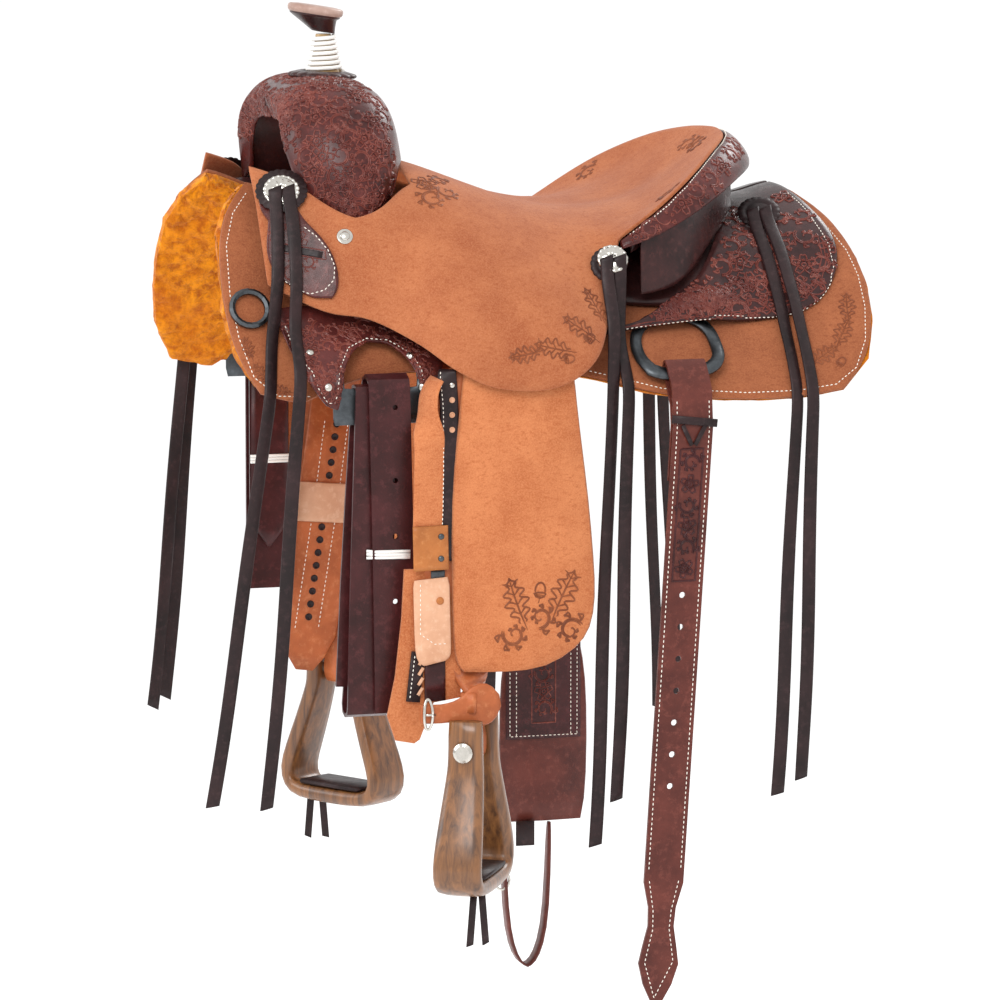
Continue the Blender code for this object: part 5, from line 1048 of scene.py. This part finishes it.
# How far out from the saddle's middle these straps lie.
STRAP_OUT = 0.2640
SLEEVE_OUT = 0.2668
WING_OUT = (0.2585, 0.2620)
LACING_OUT = (0.2660, 0.2664)
LACING_PITCH = 0.0105
OFF_HOLES = 16
OFF_HOLE_PITCH = 0.0143


def strap_on(name, tree, line, side, material, body, width, thick, lift=0.0):
    """A flat strap lying on a surface along knots, with its rounded edges."""
    laid = traced(tree, line, side, 0.005)
    ways = [n for spot, n in laid]
    for smoothing in range(6):
        ways = [(ways[max(i - 1, 0)] + ways[i] + ways[min(i + 1, len(ways) - 1)]).normalized()
                for i in range(len(ways))]
    path = [spot + way * (thick / 2 + 0.0002 + lift) for (spot, n), way in zip(laid, ways)]
    for smoothing in range(4):
        path = [path[0]] + [(path[i - 1] + path[i] * 2.0 + path[i + 1]) / 4.0
                            for i in range(1, len(path) - 1)] + [path[-1]]
    return ribbon(name, path, ways, material, body, width=width, thick=thick)


def stud(name, tree, spot, side, material, body, radius, hollow=0.0):
    """A domed rivet set in a surface, or an eyelet whose hole is a share of its radius."""
    point, way = lay(tree, spot, side)
    profile = [(radius, -0.0004), (radius, 0.0006), (radius * 0.82, 0.0013), (radius * 0.45, 0.0018),
               (0.0001, 0.0020)]
    if hollow:
        profile = [(radius, -0.0004), (radius, 0.0005), (radius * 0.85, 0.0010), (radius * hollow, 0.0008),
                   (radius * hollow * 0.9, 0.0001), (0.0001, 0.00005)]
    return round_relief(name, point, way, profile, material, body, segments=28)


# Undyed leather is pale and dull, and its tan neighbour is dyed through.
pale_sleeve = grain_leather("pale_sleeve_leather", "d9a888", "c08c6c", "e8c3a8", 0.5)
tan_cover = grain_leather("tan_cover_leather", "b9713a", "96572a", "d1935c", 0.42)
STRIP_LINE = ((-0.1560, -0.0700), (-0.1549, -0.0981), (-0.1538, -0.1524), (-0.1549, -0.2066),
              (-0.1560, -0.2369))
INNER_STRAP_LINE = ((-0.1335, -0.0720), (-0.1327, -0.1201), (-0.1327, -0.1743), (-0.1335, -0.2177),
                    (-0.1355, -0.2700))
INNER_STITCH_LINE = ((-0.1400, -0.0740), (-0.1393, -0.1201), (-0.1393, -0.1743), (-0.1400, -0.2177),
                     (-0.1415, -0.2480))
BUCKLE_COVER_LINE = ((-0.1540, -0.2330), (-0.1535, -0.2560), (-0.1530, -0.2790))
SLEEVE_LEVELS = (-0.2880, -0.2960, -0.3200, -0.3450, -0.3600, -0.3680, -0.3730, -0.3760)
SLEEVE_WIDTHS = [0.0360, 0.0390, 0.0390, 0.0390, 0.0385, 0.0370, 0.0330, 0.0250]
SLEEVE_STITCH_LINE = ((-0.1650, -0.2920), (-0.1650, -0.3450), (-0.1500, -0.3560), (-0.1390, -0.3560))
TAIL_LEVELS = (-0.3640, -0.3900, -0.4160)
LACED_EDGE_LINE = ((-0.1660, -0.3640), (-0.1690, -0.3900), (-0.1720, -0.4160))
LACED_STITCH_LINE = ((-0.1700, -0.3670), (-0.1728, -0.3900), (-0.1756, -0.4130))
for side_name, side in SIDES:
    body = "fender_" + side_name
    fold = skin("stirrup_leather_fold_" + side_name)
    strap_on("stirrup_leather_edge_strip_" + side_name, fold, STRIP_LINE, side, fender_roughout, body,
             width=0.0320, thick=0.0030)
    strap_on("stirrup_leather_inner_strap_" + side_name, fold, INNER_STRAP_LINE, side, lace_leather, body,
             width=0.0200, thick=0.0024)
    fitted = skin("stirrup_leather_inner_strap_" + side_name)
    stitched("stirrup_leather_stitching_" + side_name, fitted, INNER_STITCH_LINE, side, body,
             pitch=0.0046, length=0.003)
    for k, z in enumerate((-0.0880, -0.1034, -0.1188, -0.1342)):
        name = "stirrup_leather_hole_%s_%d" % (side_name, k)
        if k == 0:
            stud(name, fitted, (-0.1300, z), side, bright_steel, body, radius=0.0030)
        else:
            stud(name, fitted, (-0.1300, z), side, pale_sleeve, body, radius=0.0030,
                 hollow=0.7)
    strap_on("slide_buckle_cover_" + side_name, fold, BUCKLE_COVER_LINE, side, tan_cover, body,
             width=0.0380, thick=0.0034, lift=0.0030)
    cover = skin("slide_buckle_cover_" + side_name)
    for k, z in enumerate((-0.2440, -0.2670)):
        stud("slide_buckle_screw_%s_%d" % (side_name, k), cover, (-0.1430, z), side, blued_steel, body,
             radius=0.0032)
    strap_on("slide_buckle_tongue_" + side_name, fold, ((-0.1450, -0.2780), (-0.1450, -0.2960)), side,
             blued_steel, body, width=0.0150, thick=0.0016, lift=0.0004)
    if side_name == "near":
        wing = [(-0.1800, -0.2780), (-0.1200, -0.2780), (-0.1200, -0.4140), (-0.1490, -0.4180),
                (-0.1640, -0.4560), (-0.1700, -0.4600), (-0.1900, -0.4560), (-0.1985, -0.4300),
                (-0.1900, -0.3900), (-0.1830, -0.3300)]
        count = len(wing)
        solid("fender_front_wing_" + side_name,
              [Vector((x, side * y, z)) for y in WING_OUT for x, z in wing],
              [list(range(count)), [2 * count - 1 - k for k in range(count)]]
              + [[k, (k + 1) % count, count + (k + 1) % count, count + k] for k in range(count)],
              fender_roughout, body, smooth=False)
    out = Vector((0.0, side, 0.0))
    sleeve_path = [Vector((-0.1533 + 0.0006 * k, side * SLEEVE_OUT, z))
                   for k, z in enumerate(SLEEVE_LEVELS)]
    ribbon("stirrup_leather_sleeve_" + side_name, sleeve_path, [out] * 8, pale_sleeve, body,
           width=SLEEVE_WIDTHS, thick=0.0036)
    sleeve = skin("stirrup_leather_sleeve_" + side_name)
    stitched("sleeve_stitching_" + side_name, sleeve, SLEEVE_STITCH_LINE, side, body,
             pitch=0.005, length=0.003, thick=0.0008)
    stud("sleeve_rivet_" + side_name, sleeve, (-0.1440, -0.3110), side, tan_cover, body,
         radius=0.0040)
    tail_path = [Vector((-0.1483, side * STRAP_OUT, z)) for z in TAIL_LEVELS]
    ribbon("stirrup_leather_tail_" + side_name, tail_path, [out] * 3, burgundy_leather, body,
           width=0.0225, thick=0.0026)
    edge_path = [Vector((x, side * STRAP_OUT, z)) for x, z in LACED_EDGE_LINE]
    ribbon("fender_laced_edge_" + side_name, edge_path, [out] * 3, lace_leather, body,
           width=0.0150, thick=0.0022)
    edge_skin = skin("fender_laced_edge_" + side_name)
    stitched("laced_edge_stitching_" + side_name, edge_skin, LACED_STITCH_LINE, side, body,
             pitch=0.0046, length=0.003)
    for k in range(4):
        z = -0.3700 - LACING_PITCH * k
        ribbon("fender_lacing_%s_%d" % (side_name, k),
               [Vector((-0.1610 - 0.0004 * k, side * LACING_OUT[0], z)),
                Vector((-0.1660 - 0.0004 * k, side * LACING_OUT[1], z - 0.0075))], [out] * 2, pale_sleeve,
               body, width=0.0034, thick=0.0016)
inward = Vector((0.0, -1.0, 0.0))
LEG_OUT = 0.2490
LEG_LINE = ((-0.1085, -0.1650), (-0.1180, -0.2300), (-0.1290, -0.3000), (-0.1400, -0.3700),
            (-0.1480, -0.4250), (-0.1510, -0.4480), (-0.1530, -0.4640))
LEG_WIDTHS = [0.0700, 0.0700, 0.0700, 0.0690, 0.0640, 0.0440, 0.0200]
ribbon("off_leather_inner_face", [Vector((x, LEG_OUT, z)) for x, z in LEG_LINE], [inward] * 7,
       russet_leather, "fender_off", width=LEG_WIDTHS, thick=0.0030)
leg_skin = skin("off_leather_inner_face")
for k, shift in enumerate((-0.0135, 0.0135)):
    stitched("off_leather_stitching_%d" % k, leg_skin,
             [(-0.1150 + shift, -0.1850), (-0.1280 + shift, -0.2800), (-0.1500 + shift, -0.4150)], -1.0,
             "fender_off")
# Each hole is a dimple of black-brown lace leather: painted shade inside the hole.
for row in range(OFF_HOLES):
    stud("off_leather_hole_%d" % row, leg_skin, (-0.1150 - 0.0022 * row, -0.1900 - OFF_HOLE_PITCH * row),
         -1.0, lace_leather, "fender_off", radius=0.0040, hollow=0.7)
band_path = [Vector((-0.1650, 0.2455, -0.2740)), Vector((-0.1280, 0.2450, -0.2770)),
             Vector((-0.0920, 0.2455, -0.2800))]
ribbon("off_leather_sleeve", band_path, [inward] * 3, pale_sleeve, "fender_off",
       width=0.0440, thick=0.0030)

# Hobble straps
# A russet strap buckled round the foot of each fender and stirrup leather, its free end cut to a
# broad round tab, its buckle a plated ring with a tongue.
HOBBLE_OUT = 0.2790
BUCKLE_OUT = 0.2830
HOBBLE_LINE = ((-0.1680, -0.4270), (-0.1450, -0.4270), (-0.1220, -0.4240), (-0.1020, -0.4190),
               (-0.0830, -0.4160))
HOBBLE_WIDTHS = [0.0190, 0.0200, 0.0200, 0.0200, 0.0205, 0.0220, 0.0260, 0.0320, 0.0390, 0.0430, 0.0440,
                 0.0410, 0.0320, 0.0140]
for side_name, side in SIDES:
    body = "fender_" + side_name
    path = []
    looks = []
    for k in range(len(HOBBLE_WIDTHS)):
        t = k / (len(HOBBLE_WIDTHS) - 1)
        at = t * (len(HOBBLE_LINE) - 1)
        i = min(int(at), len(HOBBLE_LINE) - 2)
        x = HOBBLE_LINE[i][0] + (HOBBLE_LINE[i + 1][0] - HOBBLE_LINE[i][0]) * (at - i)
        z = HOBBLE_LINE[i][1] + (HOBBLE_LINE[i + 1][1] - HOBBLE_LINE[i][1]) * (at - i)
        path.append(Vector((x, side * (HOBBLE_OUT + 0.0030 * math.sin(math.pi * t)), z)))
        looks.append(Vector((0.10 * (t - 0.5), side, 0.0)))
    ribbon("hobble_strap_end_" + side_name, path, looks, russet_leather, body,
           width=HOBBLE_WIDTHS, thick=0.0034)
    ring = Vector((-0.1610, side * BUCKLE_OUT, -0.4270))
    hoop = [ring + Vector((0.0046 * math.cos(a), side * 0.0016 * math.cos(2 * a), 0.0160 * math.sin(a)))
            for a in [2 * math.pi * k / 32 for k in range(33)]]
    ribbon("hobble_buckle_" + side_name, hoop, [(p - ring).normalized() for p in hoop], bright_steel, body,
           width=0.0026, thick=0.0026)
    tongue_path = [ring + Vector((-0.0046, 0.0, 0.0)), ring + Vector((0.0, side * 0.0022, 0.0)),
                   ring + Vector((0.0075, side * 0.0010, 0.0))]
    ribbon("hobble_buckle_tongue_" + side_name, tongue_path, [Vector((0.0, side, 0.0))] * 3, bright_steel,
           body, width=0.0024, thick=0.0020)

# Ties, keepers and rivets
# Cotton ties round the doubled latigo and billet, a laced keeper on the rear billet, the rivets of
# the rigging leathers, the screws through the seat's jockeys, the horn's scalloped collar and its
# cap's pale rim, and the laces that hold each stirrup's tread.
TIE_PITCH = 0.0032
TIED = (("latigo_tie", "latigo_strap_near", "latigo_near", -1.0, -0.2645, (-0.2140, -0.1690)),
        ("billet_tie", "billet_strap_off", "billet_off", 1.0, -0.2210, (-0.2210, -0.1760)))
for name, node, body, side, z, knots in TIED:
    tree = skin(node)
    for turn in range(3):
        drop = z + TIE_PITCH * (turn - 1)
        line = [(knots[0] + (knots[1] - knots[0]) * k / 5, drop + 0.0008 * math.sin(2.0 * k + turn))
                for k in range(6)]
        strap_on("%s_%d" % (name, turn), tree, line, side, cotton, body, width=0.0030,
                 thick=0.0026, lift=0.0002)
keeper_y = lay(billet_skin, (lean(-0.140), -0.140), -1.0)[0].y - 0.0022
keeper_path = [Vector((lean(-0.13) + x, keeper_y, -0.1310 - 0.12 * x)) for x in (-0.0245, 0.0, 0.0245)]
ribbon("billet_keeper", keeper_path, [inward] * 3, lace_leather, "rear_billet_near",
       width=0.0085, thick=0.0030)
for k, way in enumerate((-1.0, 1.0)):
    lace_path = [Vector((lean(-0.137) + way * 0.0125, keeper_y - 0.0006, -0.1350)),
                 Vector((lean(-0.150) + way * 0.0018, keeper_y - 0.0006, -0.1560))]
    ribbon("billet_keeper_lace_%d" % k, lace_path, [inward] * 2, lace_leather, "rear_billet_near",
           width=0.0048, thick=0.0020)
COVER_RIVETS = ((-0.2650, -0.0560), (-0.2530, -0.0900), (-0.1620, -0.0620), (-0.1640, -0.0930))
KEEPER_SLOT_SHADE = ((-0.2830, 0.0480), (-0.2600, 0.0440), (-0.2440, 0.0410))
KEEPER_SLOT_EDGE = ((-0.2860, 0.0530), (-0.2600, 0.0488), (-0.2410, 0.0455), (-0.2410, 0.0365),
                    (-0.2600, 0.0395), (-0.2860, 0.0435), (-0.2860, 0.0530))
for side_name, side in SIDES:
    cover_skin = skin("rigging_cover_leather_" + side_name)
    for k, spot in enumerate(COVER_RIVETS):
        stud("rigging_rivet_%s_%d" % (side_name, k), cover_skin, spot, side, bright_steel, "saddle",
             radius=0.0042)
    keeper_skin = skin("latigo_keeper_leather_" + side_name)
    # The keeper's slot is a thin strip of black-brown lace leather: painted shade in the opening.
    strap_on("keeper_slot_" + side_name, keeper_skin, KEEPER_SLOT_SHADE, side, lace_leather, "saddle",
             width=0.0070, thick=0.0006)
    ridges("keeper_slot_edge_" + side_name, [traced(keeper_skin, KEEPER_SLOT_EDGE, side)], tooling_with_painted_highlight,
           "saddle", width=0.0018, height=0.0010)
    point, way = lay(seat_skin, (-0.2190, -0.1750, 0.0600), side)
    washer = [(0.0085, -0.0004), (0.0085, 0.0008), (0.0078, 0.0014), (0.0052, 0.0012), (0.0050, 0.0018),
              (0.0046, 0.0026), (0.0026, 0.0034), (0.0001, 0.0036)]
    round_relief("seat_screw_" + side_name, point, way, washer, bright_steel, "saddle",
                 segments=36)
COLLAR_SCALLOPS = 8
collar = [(0.0215, 0.0035), (0.0240, 0.0045),
          (lambda a: 0.0330 + 0.0022 * abs(math.sin(COLLAR_SCALLOPS * a)), 0.0016),
          (lambda a: 0.0345 + 0.0024 * abs(math.sin(COLLAR_SCALLOPS * a)), -0.0004),
          (lambda a: 0.0335 + 0.0024 * abs(math.sin(COLLAR_SCALLOPS * a)), -0.0022)]
round_relief("horn_collar", Vector((-0.1960, 0.0, 0.2145)), Vector((0.05, 0.0, 1.0)).normalized(), collar,
             jockey_leather, "saddle", segments=128)
# The cap's rim is a ring of pale leather.
rim_leather = grain_leather("pale_horn_cap_rim_leather", "bda094", "96786c", "d3bbb0", 0.4)
cap_rim = [(0.0270, -0.0075), (0.0291, -0.0058), (0.0297, -0.0030), (0.0292, -0.0004), (0.0275, 0.0010),
           (0.0200, 0.0018), (0.0001, 0.0021)]
round_relief("horn_cap_rim", Vector((-0.2027, 0.0, 0.2861)), Vector((0.1564, 0.0, 0.9877)), cap_rim,
             rim_leather, "saddle", segments=96)
LAYER_OUT = 0.2105
LAYER_TIE_OUT = 0.2078
LAYER_LINE = ((-0.2010, -0.1100), (-0.2010, -0.2000), (-0.2015, -0.2850), (-0.2020, -0.3000),
              (-0.2025, -0.3180))
LAYER_WIDTHS = [0.0420, 0.0420, 0.0420, 0.0300, 0.0030]
ribbon("billet_outer_layer", [Vector((x, LAYER_OUT, z)) for x, z in LAYER_LINE], [inward] * 5,
       burgundy_leather, "billet_off", width=LAYER_WIDTHS, thick=0.0030)
for turn in range(3):
    drop = -0.2205 + TIE_PITCH * (turn - 1)
    tie_path = [Vector((x, LAYER_TIE_OUT, drop)) for x in (-0.2235, -0.2010, -0.1785)]
    ribbon("billet_layer_tie_%d" % turn, tie_path, [inward] * 3, cotton, "billet_off",
           width=0.0030, thick=0.0024)
TREAD_LACE_DROP = 0.0560
TREAD_LACE_OUT = 0.2830
for side_name, side, x, z in (("near", -1.0, -0.1120, -0.6160), ("off", 1.0, -0.1360, -0.6030)):
    for k in range(2):
        tail = [Vector((x + 0.0100 * k - 0.0045 * t * (1 - 2 * k), side * (TREAD_LACE_OUT - 0.0060 * k),
                        z - TREAD_LACE_DROP * t)) for t in (0.0, 0.25, 0.5, 0.75, 1.0)]
        ribbon("tread_lace_%s_%d" % (side_name, k), tail, [Vector((0.15, side, 0.0))] * 5, lace_leather,
               "stirrup_" + side_name, width=0.0080, thick=0.0022, curl=0.2, slant=0.35)

# Cinch overlay
# A second layer of latigo leather stitched round its edge to the upper half of the flank cinch,
# a black tab at its foot, and the small plated buckle of the connecting strap.
CINCH_MIDDLE = 0.1365
cinch_skin = skin("flank_cinch_strap")
OVERLAY_LINE = [(CINCH_MIDDLE, z) for z in (-0.4300, -0.4700, -0.5200, -0.5620)]
strap_on("cinch_overlay", cinch_skin, OVERLAY_LINE, -1.0, burgundy_leather, "rear_billet_off",
         width=0.0880, thick=0.0030)
overlay_skin = skin("cinch_overlay")
for k, x in enumerate((0.0970, 0.1045, 0.1685, 0.1760)):
    stitched("cinch_stitching_%d" % k, overlay_skin, [(x, -0.4340), (x, -0.4900), (x, -0.5590)], -1.0,
             "rear_billet_off", pitch=0.005, length=0.0034)
FOOT_STITCH_LINE = [(x, -0.5585) for x in (0.0970, CINCH_MIDDLE, 0.1760)]
stitched("cinch_foot_stitching", overlay_skin, FOOT_STITCH_LINE, -1.0, "rear_billet_off",
         pitch=0.005, length=0.0034)
CINCH_FIGURES = [((CINCH_MIDDLE, -0.4480 - 0.0200 * k), 0.0115, 1.4 * k, ("scroll", "flower")[k % 2])
                 for k in range(5)]
tooled("cinch_panel_tooling", overlay_skin, CINCH_FIGURES, -1.0, tooling_with_painted_highlight, "rear_billet_off",
       width=0.0016, height=0.0010)
CINCH_PANEL = ((0.1225, -0.4360), (0.1505, -0.4360), (0.1505, -0.5440), (0.1225, -0.5440),
               (0.1225, -0.4360))
ridges("cinch_panel_border", [traced(overlay_skin, CINCH_PANEL, -1.0)], tooling_with_painted_highlight, "rear_billet_off",
       width=0.0020, height=0.0011)
foot_path = [Vector((0.1150, 0.2880, z)) for z in (-0.6560, -0.6700, -0.6840)]
ribbon("cinch_foot_tab", foot_path, [inward] * 3, lace_leather, "rear_billet_off",
       width=0.0220, thick=0.0030)
middle = Vector((0.0880, 0.2890, -0.7230))
buckle_path = [middle + Vector((0.0085 * math.cos(a), 0.0, 0.0105 * math.sin(a)))
               for a in [2 * math.pi * k / 32 for k in range(33)]]
ribbon("connector_buckle", buckle_path, [(p - middle).normalized() for p in buckle_path], bright_steel,
       "cinch_connector", width=0.0026, thick=0.0026)
